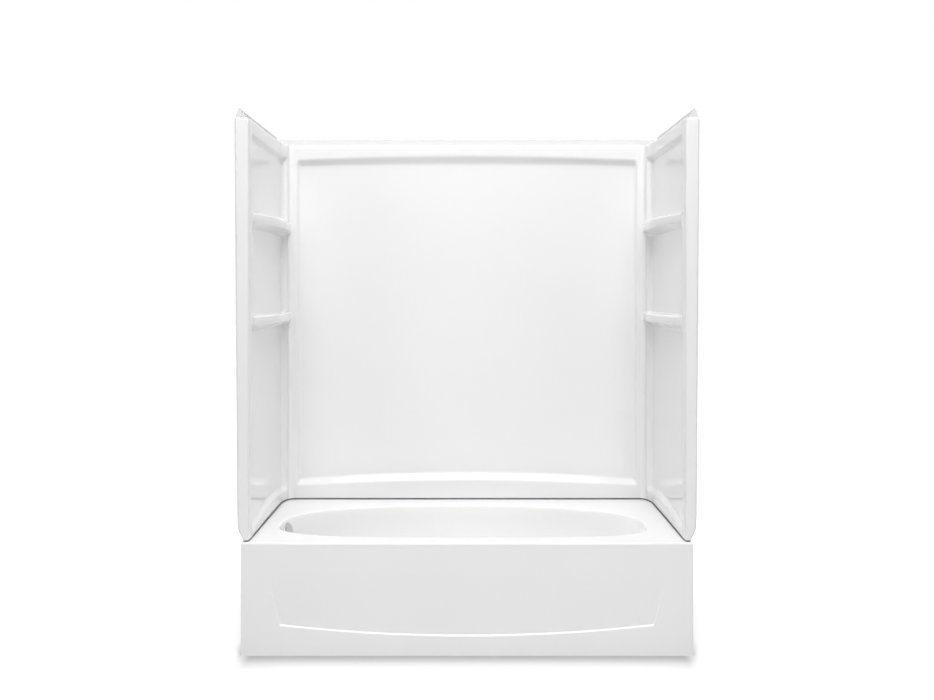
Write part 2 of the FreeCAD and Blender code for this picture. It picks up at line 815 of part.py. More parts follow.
def spring_clip(stack, grip):
    """A clip in its own frame: it straddles a stack along Y and opens towards -X."""
    outer = Part.makeBox(grip + clip_metal, stack + 2 * clip_metal, clip_width,
                         Vector(-grip, -stack / 2 - clip_metal, -clip_width / 2))
    inner = Part.makeBox(grip, stack, clip_width, Vector(-grip, -stack / 2, -clip_width / 2))
    bend = edges_where(outer, lambda middle, span: span.ZLength > clip_width / 2 and middle.x > 0)
    return outer.makeFillet(clip_metal, bend).cut(inner)


def make_corner_clips():
    stack = bath_depth - clip_metal - (end_rear - wall_skin)
    middle = (bath_depth - clip_metal + end_rear - wall_skin) / 2
    clips = []
    for side in (-1, 1):
        for z in corner_clip_places():
            clip = spring_clip(stack, clip_grip)
            clip.translate(Vector(end_flange_face + clip_slack, y_at(middle), z))
            clips.append(clip if side > 0 else mirrored(clip))
    return clips


def make_deck_clips():
    grip = clip_grip
    clips = []
    stack = upstand_rear - tab_front
    for x in spread_evenly(-back_half_width, back_half_width, deck_clip_back_count):
        clip = spring_clip(stack, grip)
        clip.rotate(Vector(0, 0, 0), Vector(0, 1, 0), -90)
        clip.translate(Vector(x,
                              y_at((upstand_rear + tab_front) / 2), upstand_top + clip_slack))
        clips.append(clip)
    for side in (-1, 1):
        for setback in spread_evenly(upstand_front, upstand_rear, deck_clip_end_count):
            clip = spring_clip(stack, grip)
            clip.rotate(Vector(0, 0, 0), Vector(0, 1, 0), -90)
            clip.rotate(Vector(0, 0, 0), Vector(0, 0, 1), 90)
            clip.translate(Vector((upstand_end_outer + tab_end_inner) / 2, y_at(setback),
                                  upstand_top + clip_slack))
            clips.append(clip if side > 0 else mirrored(clip))
    return clips


# Rails, floor board, bearers, pads and screws


def make_rails():
    span = (deck_under - rail_height, deck_under)
    outer = half_width - bath_skin - rail_end_inset
    long_end = outer - rail_width - rail_end_gap
    front_start = bath_skin + rail_front_inset
    back_end = bath_depth - bath_skin - rail_back_inset
    side = box((outer - rail_width, outer), (front_start, back_end), span)
    front = box((-long_end, long_end), (front_start, front_start + rail_width), span)
    back = box((-long_end, long_end), (back_end - rail_width, back_end), span)
    return {"rim_rail_front": front, "rim_rail_back": back,
            "rim_rail_left": mirrored(side), "rim_rail_right": side}


def board_span_x():
    return (-basin_left + board_left_inset, basin_right - board_right_inset)


def board_span_setback():
    return (basin_ledge_front + board_front_inset, basin_back - board_back_inset)


def bearer_places():
    low, high = board_span_x()
    return spread_evenly(low, high, bearer_count)


def screw_places():
    low, high = board_span_setback()
    return [(x, setback) for x in bearer_places() for setback in spread_evenly(low, high, screw_count)]


def screw(grow):
    """A countersunk screw driven upwards, or with a clearance the hole that it sits in."""
    length = board_under - pad_thickness - screw_sink + screw_grip_in_board
    head = Part.makeCone(screw_head_radius + grow, screw_radius + grow, screw_head_height)
    shank = Part.makeCylinder(screw_radius + grow, length + grow)
    return head.fuse(shank).removeSplitter()


def screws(grow):
    placed = []
    for x, setback in screw_places():
        body = screw(grow)
        body.translate(Vector(x, y_at(setback), pad_thickness + screw_sink))
        placed.append(body)
    return placed


def make_floor_board():
    levels = (board_under, board_top)
    board = box(board_span_x(), board_span_setback(), levels)
    corners = edges_where(board, lambda middle, span: span.ZLength > board_thickness / 2)
    board = board.makeFillet(board_corner, corners)
    foot = board_under - overrun
    hole = upright_cylinder(board_waste_radius, board_thickness + 2 * overrun, waste_x, waste_setback, foot)
    slot = box((board_span_x()[0] - overrun, waste_x),
               (waste_setback - board_waste_radius, waste_setback + board_waste_radius),
               (foot, board_top + overrun))
    return board.cut([hole, slot] + screws(screw_clearance))


def make_bearers():
    counterbores = [upright_cylinder(screw_head_radius + screw_clearance, screw_sink + overrun,
                                     x, setback, pad_thickness - overrun)
                    for x, setback in screw_places()]
    bearers = []
    for x in bearer_places():
        bearer = box((x - bearer_width / 2, x + bearer_width / 2),
                     (bearer_front, bath_depth - bearer_back_inset), (pad_thickness, board_under))
        bearers.append(bearer.cut(screws(screw_clearance) + counterbores))
    return bearers


def make_pads():
    pads = []
    half = bearer_width / 2 - pad_inset / 2
    last = bath_depth - bearer_back_inset - pad_inset - pad_length
    for x in bearer_places():
        for start in (bearer_front + pad_inset, last):
            pads.append(box((x - half, x + half), (start, start + pad_length), (0, pad_thickness)))
    return pads


os.makedirs("parts", exist_ok=True)
end_wall = make_end_wall()
end_seal = make_end_seal()
corner_seal = make_corner_seal()
save("bath_shell", [make_bath()])
save("back_wall", [make_back_wall()])
save("left_end_wall", [mirrored(end_wall)])
save("right_end_wall", [end_wall])
save("deck_seal_back", [make_back_seal()])
save("deck_seal_left", [mirrored(end_seal)])
save("deck_seal_right", [end_seal])
save("corner_seal_left", [mirrored(corner_seal)])
save("corner_seal_right", [corner_seal])
save("corner_clips", make_corner_clips())
save("deck_clips", make_deck_clips())
for node, rail in make_rails().items():
    save(node, [rail])
save("floor_board", [make_floor_board()])
save("cross_bearers", make_bearers())
save("bearer_pads", make_pads())
save("bearer_screws", screws(0))
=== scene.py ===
# %% [markdown]
# # A bath under three wall panels
# This is an alcove bath: a white moulded tub with its apron in one piece, and three moulded
# panels that stand on its deck and carry four shelves. Blender gives each of those nodes
# its finish, and finer pieces take the place of the ones whose soft edges the CAD solids
# leave sharp.

# %% Load the CAD model as the frame
import bpy
import bmesh
import math
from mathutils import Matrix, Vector


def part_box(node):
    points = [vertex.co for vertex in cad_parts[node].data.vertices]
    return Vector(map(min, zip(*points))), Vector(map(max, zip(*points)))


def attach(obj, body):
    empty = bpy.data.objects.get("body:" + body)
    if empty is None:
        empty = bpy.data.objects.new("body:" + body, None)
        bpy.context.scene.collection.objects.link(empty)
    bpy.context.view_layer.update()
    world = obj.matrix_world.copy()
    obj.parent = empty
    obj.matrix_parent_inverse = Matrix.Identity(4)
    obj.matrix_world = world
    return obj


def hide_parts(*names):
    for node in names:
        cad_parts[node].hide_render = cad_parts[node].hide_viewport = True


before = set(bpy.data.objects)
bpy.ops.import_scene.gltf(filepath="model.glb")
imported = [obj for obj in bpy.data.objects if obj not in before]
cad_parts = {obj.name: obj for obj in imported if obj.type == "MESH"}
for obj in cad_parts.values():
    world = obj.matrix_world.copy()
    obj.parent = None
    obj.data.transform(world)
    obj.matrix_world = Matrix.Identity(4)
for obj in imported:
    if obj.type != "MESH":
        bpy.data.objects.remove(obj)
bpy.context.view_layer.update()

# %% [markdown]
# ## Camera
# The picture is a one-point perspective: the bath's upright and level edges stay upright and
# level. A turned camera would make them converge, so the camera looks straight ahead, and its
# lens shift slides the frame down to the bath. The lens follows from how fast the bath's
# width shrinks from the apron to the back wall.

# %% Place the camera
PICTURE_WIDTH = 934
PICTURE_HEIGHT = 700
PIXELS_PER_UNIT_SLOPE = 1027
EYE_LEVEL_ROW = 288
EYE_DISTANCE = 3.8245
EYE_HEIGHT = 1.238

camera_data = bpy.data.cameras.new("picture_camera")
camera_data.sensor_width = 36
camera_data.lens = camera_data.sensor_width * PIXELS_PER_UNIT_SLOPE / PICTURE_WIDTH
camera_data.shift_y = (EYE_LEVEL_ROW - PICTURE_HEIGHT / 2) / PICTURE_WIDTH
camera = bpy.data.objects.new("picture_camera", camera_data)
camera.location = (0, -EYE_DISTANCE, EYE_HEIGHT)
camera.rotation_euler = (math.radians(90), 0, 0)
bpy.context.scene.collection.objects.link(camera)
bpy.context.scene.camera = camera
print("lens", round(camera_data.lens, 2), "mm, shift", round(camera_data.shift_y, 4))

# %% [markdown]
# ## Helpers for node materials
# Every finish here is a small node tree. Writing out each node and link takes many lines, so
# helpers do it. One adds a node and fills its inputs, one starts a material with the
# object's own coordinates, in metres, which stay fixed to the piece in every view, and one
# links the textures to the shader. The rest name the few nodes that come up again and again.

# %% Node helpers


def add_node(tree, kind, settings=None, **inputs):
    """A new node with its settings and inputs: values or sockets, by name or as i and a number."""
    node = tree.nodes.new(kind)
    for key, value in (settings or {}).items():
        setattr(node, key, value)
    for key, value in inputs.items():
        numbered = key[0] == "i" and key[1:].isdigit()
        socket = node.inputs[int(key[1:]) if numbered else key.replace("_", " ")]
        if isinstance(value, bpy.types.NodeSocket):
            tree.links.new(value, socket)
        else:
            socket.default_value = value
    return node


def start_material(name, **constants):
    """A material, its tree, its shader and the object coordinates."""
    material = bpy.data.materials.new(name)
    material.use_nodes = True
    tree = material.node_tree
    shader = tree.nodes["Principled BSDF"]
    for key, value in constants.items():
        shader.inputs[key.replace("_", " ")].default_value = value
    place = tree.nodes.new("ShaderNodeTexCoord").outputs["Object"]
    return material, tree, shader, place


def link_to(tree, shader, **sockets):
    """Links each socket to the shader's, or another node's, input of that name."""
    for key, socket in sockets.items():
        tree.links.new(socket, shader.inputs[key.replace("_", " ")])


def mapped(tree, place, **inputs):
    """Coordinates that a Mapping node moves, turns or scales."""
    return add_node(tree, "ShaderNodeMapping", Vector=place, **inputs).outputs["Vector"]


def noise(tree, place, scale, detail, **inputs):
    """A noise texture, from 0 to 1."""
    return add_node(tree, "ShaderNodeTexNoise", Vector=place, Scale=scale, Detail=detail, **inputs).outputs["Fac"]


def multiplied(tree, factor, first, second):
    """Two colours, multiplied as far as the factor says."""
    return add_node(tree, "ShaderNodeMix", {"data_type": "RGBA", "blend_type": "MULTIPLY"},
                    i0=factor, i6=first, i7=second).outputs[2]


def spread(tree, factor, low, high):
    """A texture's 0 to 1, spread over the range from low to high."""
    return add_node(tree, "ShaderNodeMapRange", Value=factor, To_Min=low, To_Max=high).outputs["Result"]


def tint(tree, factor, stops):
    """A texture's 0 to 1, turned into a colour between the stops."""
    ramp = add_node(tree, "ShaderNodeValToRGB", Fac=factor)
    elements = ramp.color_ramp.elements
    while len(elements) < len(stops):
        elements.new(0.5)
    for element, (position, colour) in zip(elements, stops):
        element.position = position
        element.color = (*colour, 1)
    return ramp.outputs["Color"]


def bump(tree, height, depth, strength):
    """A bump normal for a height texture whose full range stands for this depth in metres."""
    return add_node(tree, "ShaderNodeBump", Height=height, Distance=depth, Strength=strength).outputs["Normal"]


print("node helpers ready")

# %% [markdown]
# ## The moulded composite
# The white parts are one kind of material: a compression-moulded composite that is glossy to
# its core. A plain white shader looks like chalk or like porcelain. The real surface has three
# faint traits: its white drifts a little from place to place, its polish is not quite even,
# and it has the slight orange peel of a moulding tool. Each is one noise texture. The bath's
# white is set a shade lighter than the panels' as painted light, for the extra light on its deck and basin.
# The bath comes from another tool and another batch than the panels, so its white is a shade purer.

# %% Glossy face of the bath and of the panels
# Painted light: the bath's white is a shade lighter than the panels', for more light on its deck and basin.
BATH_WHITE_PAINTED_LIGHTER = 0.87
PANEL_WHITE = 0.85


def near_white(white, drift):
    """Colour stops for a white that drifts by this much to either side."""
    return [(0.3, (white - drift,) * 3), (0.7, (white + drift,) * 3)]


def glossy_moulding(name, white):
    """The polished face of a moulding."""
    material, tree, shader, place = start_material(name, IOR=1.5)
    drift = noise(tree, place, 2.2, 2.0)
    polish = noise(tree, place, 7.0, 3.0)
    peel = noise(tree, place, 160.0, 1.0)
    link_to(tree, shader, Base_Color=tint(tree, drift, near_white(white, 0.008)),
            Roughness=spread(tree, polish, 0.07, 0.11), Normal=bump(tree, peel, 0.00004, 0.5))
    return material


bath_gloss_painted_lighter = glossy_moulding("glossy_white_bath_painted_lighter", BATH_WHITE_PAINTED_LIGHTER)
moulding = glossy_moulding("glossy_white_panel", PANEL_WHITE)
print("materials:", bath_gloss_painted_lighter.name, moulding.name)

# %% [markdown]
# ## Seal strips
# Grey closed-cell foam is pressed between the panels and the deck. Its dark grey is partly the
# foam's own colour and partly painted shade, for the shadow in the narrow gap at the panels'
# feet, and it is the dark line there. Tiny pores break its surface, so a cell texture dents it
# and a slow noise keeps its grey from being flat. It is matt all over.

# %% Foam of the seals
# The seal's dark grey is partly its own colour and partly painted shade for the gap at the panels' feet.
foam_seal_and_gap_shade, tree, shader, place = start_material("grey_foam_seal_and_gap_shade", Roughness=0.9)
cells = add_node(tree, "ShaderNodeTexVoronoi", Vector=place, Scale=900.0).outputs["Distance"]
cloud = noise(tree, place, 40.0, 3.0)
link_to(tree, shader, Base_Color=tint(tree, cloud, [(0.3, (0.10, 0.10, 0.105)), (0.7, (0.14, 0.14, 0.145))]),
        Normal=bump(tree, cells, 0.0004, 0.6))
print("material:", foam_seal_and_gap_shade.name)

# %% [markdown]
# ## Spring steel and zinc
# The clips are bright spring strip, drawn along its length, so its scratches all run one
# way: a noise that is stretched thirty times makes them. The screws are zinc plated and
# passivated, which gives a yellow sheen that shifts a little from place to place.

# %% Metals of the clips and screws
spring, tree, shader, place = start_material("bright_spring_strip", Metallic=1.0)
scratch = noise(tree, mapped(tree, place, Scale=(40.0, 40.0, 1200.0)), 1.0, 4.0)
link_to(tree, shader, Base_Color=tint(tree, scratch, [(0.3, (0.50, 0.50, 0.51)), (0.7, (0.66, 0.66, 0.67))]),
        Roughness=spread(tree, scratch, 0.22, 0.42), Normal=bump(tree, scratch, 0.00002, 0.6))

zinc, tree, shader, place = start_material("zinc_plated_screw", Metallic=1.0)
sheen = noise(tree, place, 220.0, 3.0)
link_to(tree, shader, Base_Color=tint(tree, sheen, [(0.3, (0.70, 0.62, 0.42)), (0.7, (0.76, 0.74, 0.66))]),
        Roughness=spread(tree, sheen, 0.24, 0.40), Normal=bump(tree, sheen, 0.00003, 0.5))
print("materials:", spring.name, zinc.name)

# %% [markdown]
# ## Timber, board and rubber
# Rails and bearers are planed softwood. Its growth rings are cylinders round the tree's
# heart, so a rings texture whose centre lies off to one side cuts every face the way a saw
# does: stripes along the length and arcs on the ends. The board is chipboard, and its flakes
# are cells of several browns. The pads are rubber crumb, dark with lighter grains.

# %% Softwood, chipboard and crumb rubber


def softwood(name, along):
    """Planed softwood whose fibres run along X (0) or along Y (1)."""
    material, tree, shader, place = start_material(name)
    ring_scale, fibre_scale = ([drawn if axis == along else 1.0 for axis in range(3)] for drawn in (0.04, 0.012))
    heart = mapped(tree, place, Location=(0.03, 0.05, 0.06), Scale=ring_scale)
    rings = add_node(tree, "ShaderNodeTexWave",
                     {"wave_type": "RINGS", "rings_direction": "XYZ"[along], "wave_profile": "SAW"},
                     Vector=heart, Scale=26.0, Distortion=2.5, Detail=2.0, Detail_Scale=4.0).outputs["Fac"]
    fibre = noise(tree, mapped(tree, place, Scale=fibre_scale), 900.0, 3.0)
    wood = tint(tree, rings, [(0.0, (0.58, 0.40, 0.22)), (0.75, (0.66, 0.49, 0.30)), (1.0, (0.42, 0.26, 0.13))])
    fleck = tint(tree, fibre, [(0.35, (0.82, 0.80, 0.78)), (0.65, (1.0, 1.0, 1.0))])
    link_to(tree, shader, Base_Color=multiplied(tree, 1.0, wood, fleck),
            Roughness=spread(tree, fibre, 0.50, 0.66), Normal=bump(tree, fibre, 0.00015, 0.6))
    return material


wood_along_x = softwood("softwood_along_the_bath", 0)
wood_along_y = softwood("softwood_across_the_bath", 1)

chipboard, tree, shader, place = start_material("sealed_chipboard")
pressed = mapped(tree, place, Scale=(1.0, 1.6, 3.0))
chips = add_node(tree, "ShaderNodeTexVoronoi", Vector=pressed, Scale=170.0, Randomness=1.0).outputs
browns = [(0.1, (0.36, 0.25, 0.14)), (0.5, (0.56, 0.42, 0.26)), (0.9, (0.68, 0.55, 0.37))]
link_to(tree, shader, Base_Color=tint(tree, chips["Color"], browns),
        Roughness=spread(tree, chips["Distance"], 0.45, 0.62), Normal=bump(tree, chips["Distance"], 0.0003, 0.4))

rubber, tree, shader, place = start_material("crumb_rubber_pad")
crumbs = add_node(tree, "ShaderNodeTexVoronoi", Vector=place, Scale=520.0, Randomness=1.0).outputs
greys = [(0.2, (0.018, 0.018, 0.020)), (0.85, (0.04, 0.04, 0.042)), (0.95, (0.16, 0.16, 0.16))]
link_to(tree, shader, Base_Color=tint(tree, crumbs["Color"], greys),
        Roughness=spread(tree, crumbs["Distance"], 0.7, 0.9), Normal=bump(tree, crumbs["Distance"], 0.0006, 0.8))
print("materials:", wood_along_x.name, wood_along_y.name, chipboard.name, rubber.name)

# %% [markdown]
# ## Dress the CAD nodes
# A CAD node keeps its mesh, so only its material slot changes. The table follows the real
# parts: the long rails and the short ones are the same timber, cut along different axes.

# %% Give every CAD node its finish
finishes = {
    "bath_shell": bath_gloss_painted_lighter, "back_wall": moulding, "left_end_wall": moulding, "right_end_wall": moulding,
    "deck_seal_back": foam_seal_and_gap_shade, "deck_seal_left": foam_seal_and_gap_shade, "deck_seal_right": foam_seal_and_gap_shade,
    "corner_seal_left": foam_seal_and_gap_shade, "corner_seal_right": foam_seal_and_gap_shade,
    "corner_clips": spring, "deck_clips": spring,
    "rim_rail_front": wood_along_x, "rim_rail_back": wood_along_x,
    "rim_rail_left": wood_along_y, "rim_rail_right": wood_along_y,
    "floor_board": chipboard, "cross_bearers": wood_along_y,
    "bearer_pads": rubber, "bearer_screws": zinc,
}
for node_name, finish in finishes.items():
    for material_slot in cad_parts[node_name].material_slots:
        material_slot.material = finish
print("dressed", len(finishes), "nodes")

# %% [markdown]
# ## From millimetres to a skin
# A moulded panel is a thin sheet, so each one is made as a sheet: columns of points along its
# plan, each running from foot to top, joined by quads. Sculpting or cutting boxes could give
# the shape too, but a grid that follows the panel's own borders puts its rows exactly where
# the surface bends, so even a small bevel shades cleanly. The back of the sheet is the same
# grid, set back by the gauge. Solidify does that too, but it makes spikes where the sheet
# turns sharper than its gauge, as these do at their corners.

# %% Sizes and curves
BATH_DEPTH = 737.0
FOOT = 386.0
TOP = 1815.5
GAUGE = 4.0
OVER_UPSTAND = 412.5
TAB_TOP = 411.0
EASE = 0.24


def soft_ramp(t):
    """0 below 0 and 1 above 1, with both corners of the ramp rounded off."""
    if t <= -EASE:
        return 0.0
    if t < EASE:
        return (t + EASE) ** 2 / (4 * EASE)
    if t <= 1 - EASE:
        return t
    if t < 1 + EASE:
        return 1 - (1 + EASE - t) ** 2 / (4 * EASE)
    return 1.0


def foot_roll(z, border):
    """How far a border of this height has rolled back at z, towards its foot."""
    return 0.08 * border * max(1 - (z - FOOT) / border, 0) ** 2


def through_three(spots, values, at):
    """A parabola through three spots."""
    (a, b, c), (p, q, r) = spots, values
    return (p * (at - b) * (at - c) / ((a - b) * (a - c)) + q * (at - a) * (at - c) / ((b - a) * (b - c))
            + r * (at - a) * (at - b) / ((c - a) * (c - b)))


def stretch(start, end, steps):
    """Evenly spaced values after start, up to and with end."""
    return [start + (end - start) * (step + 1) / steps for step in range(steps)]


def quarter(steps, start=0, end=90):
    """Even angles of a quarter turn in radians, after its start."""
    return [math.radians(angle) for angle in stretch(start, end, steps)]


def in_metres(x, setback, z):
    """A place in millimetres, with its setback from the apron's face, in the frame's metres."""
    return Vector((x / 1000, (setback - BATH_DEPTH / 2) / 1000, z / 1000))


print("soft ramp at 0, 0.5 and 1:", [round(soft_ramp(t), 3) for t in (0, 0.5, 1)])

# %% Sheets and plates
BROKEN_EDGE = 0.0006


def add_strip(sheet, lines):
    """Quads between neighbouring lines of vertices. Repeated corners make triangles or nothing."""
    for line, following in zip(lines, lines[1:]):
        for here in range(len(line) - 1):
            corners = [line[here], following[here], following[here + 1], line[here + 1]]
            if len({tuple(round(v, 7) for v in corner.co) for corner in corners}) > 2:
                sheet.faces.new(corners)


def add_plate(sheet, low, high):
    """A flat plate between two corners in millimetres, with its edges broken."""
    made = bmesh.ops.create_cube(sheet, size=1.0)["verts"]
    a, b = in_metres(*low), in_metres(*high)
    for vertex in made:
        vertex.co = Vector([(a[i] + b[i]) / 2 + vertex.co[i] * (b[i] - a[i]) for i in range(3)])
    edges = [edge for edge in sheet.edges if all(vertex in made for vertex in edge.verts)]
    bmesh.ops.bevel(sheet, geom=edges, offset=BROKEN_EDGE, segments=1, affect="EDGES")


def far_enough(points, here, step):
    """The nearest point on this side that doesn't lie on the one here, or the last one."""
    spot = here
    while 0 <= spot + step < len(points) and (points[spot] - points[here]).length < 0.0002:
        spot += step
    return points[spot]


def set_back(lines, gauge):
    """The points one gauge behind a grid of points, against the way that its faces look."""
    rows = list(zip(*lines))
    behind = []
    for across, line in enumerate(lines):
        moved = []
        for up, point in enumerate(line):
            along = far_enough(rows[up], across, 1) - far_enough(rows[up], across, -1)
            rise = far_enough(line, up, 1) - far_enough(line, up, -1)
            moved.append(point - along.cross(rise).normalized() * gauge / 1000)
        behind.append(moved)
    return behind


def add_sheet(sheet, face, behind):
    """A closed sheet between two grids: its face, its back and the rims round them."""
    front = [[sheet.verts.new(point) for point in line] for line in face]
    back = [[sheet.verts.new(point) for point in line] for line in behind]
    add_strip(sheet, front)
    before = set(sheet.faces)
    add_strip(sheet, back)
    for side in set(sheet.faces) - before:
        side.material_index = 1
    for one, other in ((front[0], back[0]), (front[-1], back[-1]),
                       ([line[0] for line in front], [line[0] for line in back]),
                       ([line[-1] for line in front], [line[-1] for line in back])):
        add_strip(sheet, [one, other])
    return front, back


def tidied(sheet):
    """Joins what meets, drops what has no area and turns every face outwards."""
    bmesh.ops.remove_doubles(sheet, verts=sheet.verts, dist=0.00002)
    bmesh.ops.dissolve_degenerate(sheet, edges=sheet.edges, dist=0.00001)
    bmesh.ops.recalc_face_normals(sheet, faces=sheet.faces)


print("sheets of", GAUGE, "mm, from", FOOT, "to", TOP, "mm over the floor")

# %% Objects out of sheets
SHARP_FROM = math.radians(32)


def new_object(name, sheet, *materials):
    """Turns mesh code's sheet into an object with these materials."""
    mesh = bpy.data.meshes.new(name)
    sheet.to_mesh(mesh)
    sheet.free()
    for material in materials:
        mesh.materials.append(material)
    piece = bpy.data.objects.new(name, mesh)
    bpy.context.scene.collection.objects.link(piece)
    return piece


def pattern_piece(name, sheet, material):
    """A piece that is only copied by Geometry Nodes, so it stays out of the scene itself."""
    piece = new_object(name, sheet, material)
    bpy.context.scene.collection.objects.unlink(piece)
    return piece


def merged(name, pieces):
    """One piece out of several, with smooth faces that break at sharp edges."""
    whole = bmesh.new()
    for piece in pieces:
        whole.from_mesh(piece.data)
    result = new_object(name, whole, *pieces[0].data.materials)
    for piece in pieces:
        bpy.data.objects.remove(piece)
    result.data.shade_smooth()
    result.data.set_sharp_from_angle(angle=SHARP_FROM)
    return result


def print_boxes(piece, node_name):
    """Prints the box of a CAD node and the box of the piece that replaces it."""
    low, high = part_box(node_name)
    spans = [[f(v.co[i] for v in piece.data.vertices) for i in range(3)] for f in (min, max)]
    print(node_name, "CAD", [round(v, 4) for v in low], [round(v, 4) for v in high])
    print(piece.name, "mesh", [[round(v, 4) for v in span] for span in spans])


print("edges are sharp from", round(math.degrees(SHARP_FROM)), "degrees")

# %% [markdown]
# ## The panels' rough back
# Only the face of a moulding touches the polished half of the tool. Its back is duller and
# shows the glass strands in the mix, so the inner side of each sheet gets a material of its own.

# %% Rough back of the moulding
rough_back, tree, shader, place = start_material("rough_back_of_moulding", IOR=1.5)
strands = mapped(tree, place, Scale=(1.0, 1.0, 0.35), Rotation=(0.4, 0.7, 0.2))
mat_of_glass = noise(tree, strands, 320.0, 4.0, Distortion=1.4)
patches = noise(tree, place, 9.0, 3.0)
greyed = multiplied(tree, 0.6, tint(tree, mat_of_glass, [(0.35, (0.70, 0.70, 0.68)), (0.65, (0.83, 0.83, 0.82))]),
                    tint(tree, patches, [(0.3, (0.90, 0.90, 0.89)), (0.7, (1.0, 1.0, 1.0))]))
link_to(tree, shader, Base_Color=greyed, Roughness=spread(tree, mat_of_glass, 0.5, 0.75),
        Normal=bump(tree, mat_of_glass, 0.0004, 0.7))
print("material:", rough_back.name)

# %% [markdown]
# ## The flanges' trimmed skin
# The nailing flanges disappear behind the wall's boards, so nobody polishes them. Their skin is
# the same white composite, matt, with fine upright scratches where the trimming cutter has
# passed: a noise that is stretched along the height. Its white is set a little darker than the face's.

# %% Matt skin of the flanges
FLANGE_WHITE = 0.72
flange_skin, tree, shader, place = start_material("matt_flange_skin", IOR=1.5)
grain = noise(tree, mapped(tree, place, Scale=(1.0, 1.0, 0.08)), 420.0, 3.0)
link_to(tree, shader, Base_Color=tint(tree, grain, near_white(FLANGE_WHITE, 0.012)),
        Roughness=spread(tree, grain, 0.52, 0.66), Normal=bump(tree, grain, 0.00005, 0.5))
print("material:", flange_skin.name)


def skin_flange(panel):
    """The faces above the wall's top get the flange's own skin."""
    mesh = panel.data
    mesh.materials.append(flange_skin)
    high = [face for face in mesh.polygons if face.center.z > (TOP + 0.5) / 1000]
    for face in high:
        face.material_index = len(mesh.materials) - 1
    print(panel.name, "flange faces:", len(high))


# %% [markdown]
# ## Ribs
# Thin ribs behind each panel keep it from drumming and from bowing in. Each follows the
# panel's own back, so it is a plate between two lines: one along the sheet, one straight.
# Its inner line lies inside the sheet's gauge, so no gap opens where the sheet bends.

# %% Ribs behind a sheet
RIB_HALF = 1.5


def add_rib(sheet, inner, outer, half):
    """A closed plate between two lines, with half its thickness as a vector in millimetres."""
    shift = half / 1000
    loops = []
    for a, b in zip(inner, outer):
        spots = (a - shift, b - shift, b + shift, a + shift)
        loops.append([sheet.verts.new(spot) for spot in spots])
    for loop, following in zip(loops, loops[1:]):
        for corner in range(4):
            beside = (corner + 1) % 4
            sheet.faces.new((loop[corner], following[corner], following[beside], loop[beside]))
    sheet.faces.new(loops[0])
    sheet.faces.new(loops[-1][::-1])


def ribs_made(name, ribs):
    """One piece out of several ribs."""
    sheet = bmesh.new()
    for inner, outer, half in ribs:
        add_rib(sheet, inner, outer, half)
    bmesh.ops.recalc_face_normals(sheet, faces=sheet.faces)
    return new_object(name, sheet, moulding, rough_back)


def even_places(count, start, end):
    """Places that split a span evenly."""
    return [start + (end - start) * (number + 1) / (count + 1) for number in range(count)]


print("ribs of", 2 * RIB_HALF, "mm")

# %% [markdown]
# ## The back panel
# The back panel is a shallow tray: borders all round and a sunk field whose lower and upper
# edges bow upwards. Near its ends the border turns forward to meet the end panels. A depth
# rule gives the tray: a soft ramp from each border, multiplied together, so the corners of
# the field melt into each other as they do on a moulding.

# %% Plan and depth of the back panel
BACK_FACE = 707.0
BACK_HALF = 722.8
BACK_TURN_START = 701.5
BACK_TURN_RADIUS = 20.0
BACK_FLANGE_HALF = 766.5
FLANGE_FACE = 733.0
FIELD_HALF = 690.8
FIELD_SIDE_BEVEL = 12.0
FIELD_DEPTH = 19.0
BACK_BROW = 12.0
BACK_FLANGE_TOP = TOP + 25.0
TONGUE_REAR = 718.8
RIM_REAR = 711.0
FOOT_PLATE_HALF = 718.0
FOOT_PLATE_REAR = 725.8
CLIP_PLACES = (541.45, 814.85, 1100.75, 1386.65, 1672.55)
CLIP_SEAT_HALF = 12.7
CLIP_SEAT_START = 756.7
CLIP_SEAT_FACE = 735.8
STEP = 0.1


def back_plan():
    """Stops along the plan from the middle to the right: x, setback, inward, brow and the place behind."""
    face = [(x, BACK_FACE, (0, 1), BACK_BROW, None)
            for x in [0] + stretch(0, 660, 22) + stretch(660, BACK_TURN_START, 26)]
    turned = []
    for number, turn in enumerate(quarter(9, 90, 0)):
        turned.append((BACK_TURN_START + BACK_TURN_RADIUS * math.cos(turn),
                       BACK_FACE - BACK_TURN_RADIUS * (1 - math.sin(turn)), (math.cos(turn), math.sin(turn)),
                       3 + (BACK_BROW - 3) * math.sin(turn), (702.5 + 1.8 * number, RIM_REAR)))
    tongue = [(BACK_HALF - 0.6, 687.0, (0, 1), 3, (TONGUE_REAR, RIM_REAR))]
    tongue += [(BACK_HALF, setback, (-1, 0), 1.5, (TONGUE_REAR, max(setback, RIM_REAR)))
               for setback in (687.6, 690.0, 710.0, TONGUE_REAR, TONGUE_REAR + STEP, FLANGE_FACE - STEP)]
    flange = [(BACK_HALF, FLANGE_FACE, (-1, 0), 0, (TONGUE_REAR, BATH_DEPTH))]
    flange += [(x, FLANGE_FACE, (0, 1), 0, (x, BATH_DEPTH))
               for x in (724.5, 745.0, CLIP_SEAT_START, CLIP_SEAT_START + STEP, BACK_FLANGE_HALF)]
    return face + turned + tongue + flange


def back_bevels(x):
    """The rise of the field's foot and head edges at x, with their bevels."""
    at = min(abs(x), FIELD_HALF)
    spots = (-FIELD_HALF, 0, FIELD_HALF)
    foot = FOOT + through_three(spots, (54.0, 72.5, 54.0), at)
    head = TOP - through_three(spots, (60.0, 43.0, 60.0), at)
    return (foot, foot + through_three(spots, (18.4, 29.5, 18.4), at),
            head, head - through_three(spots, (20.0, 28.0, 20.0), at))


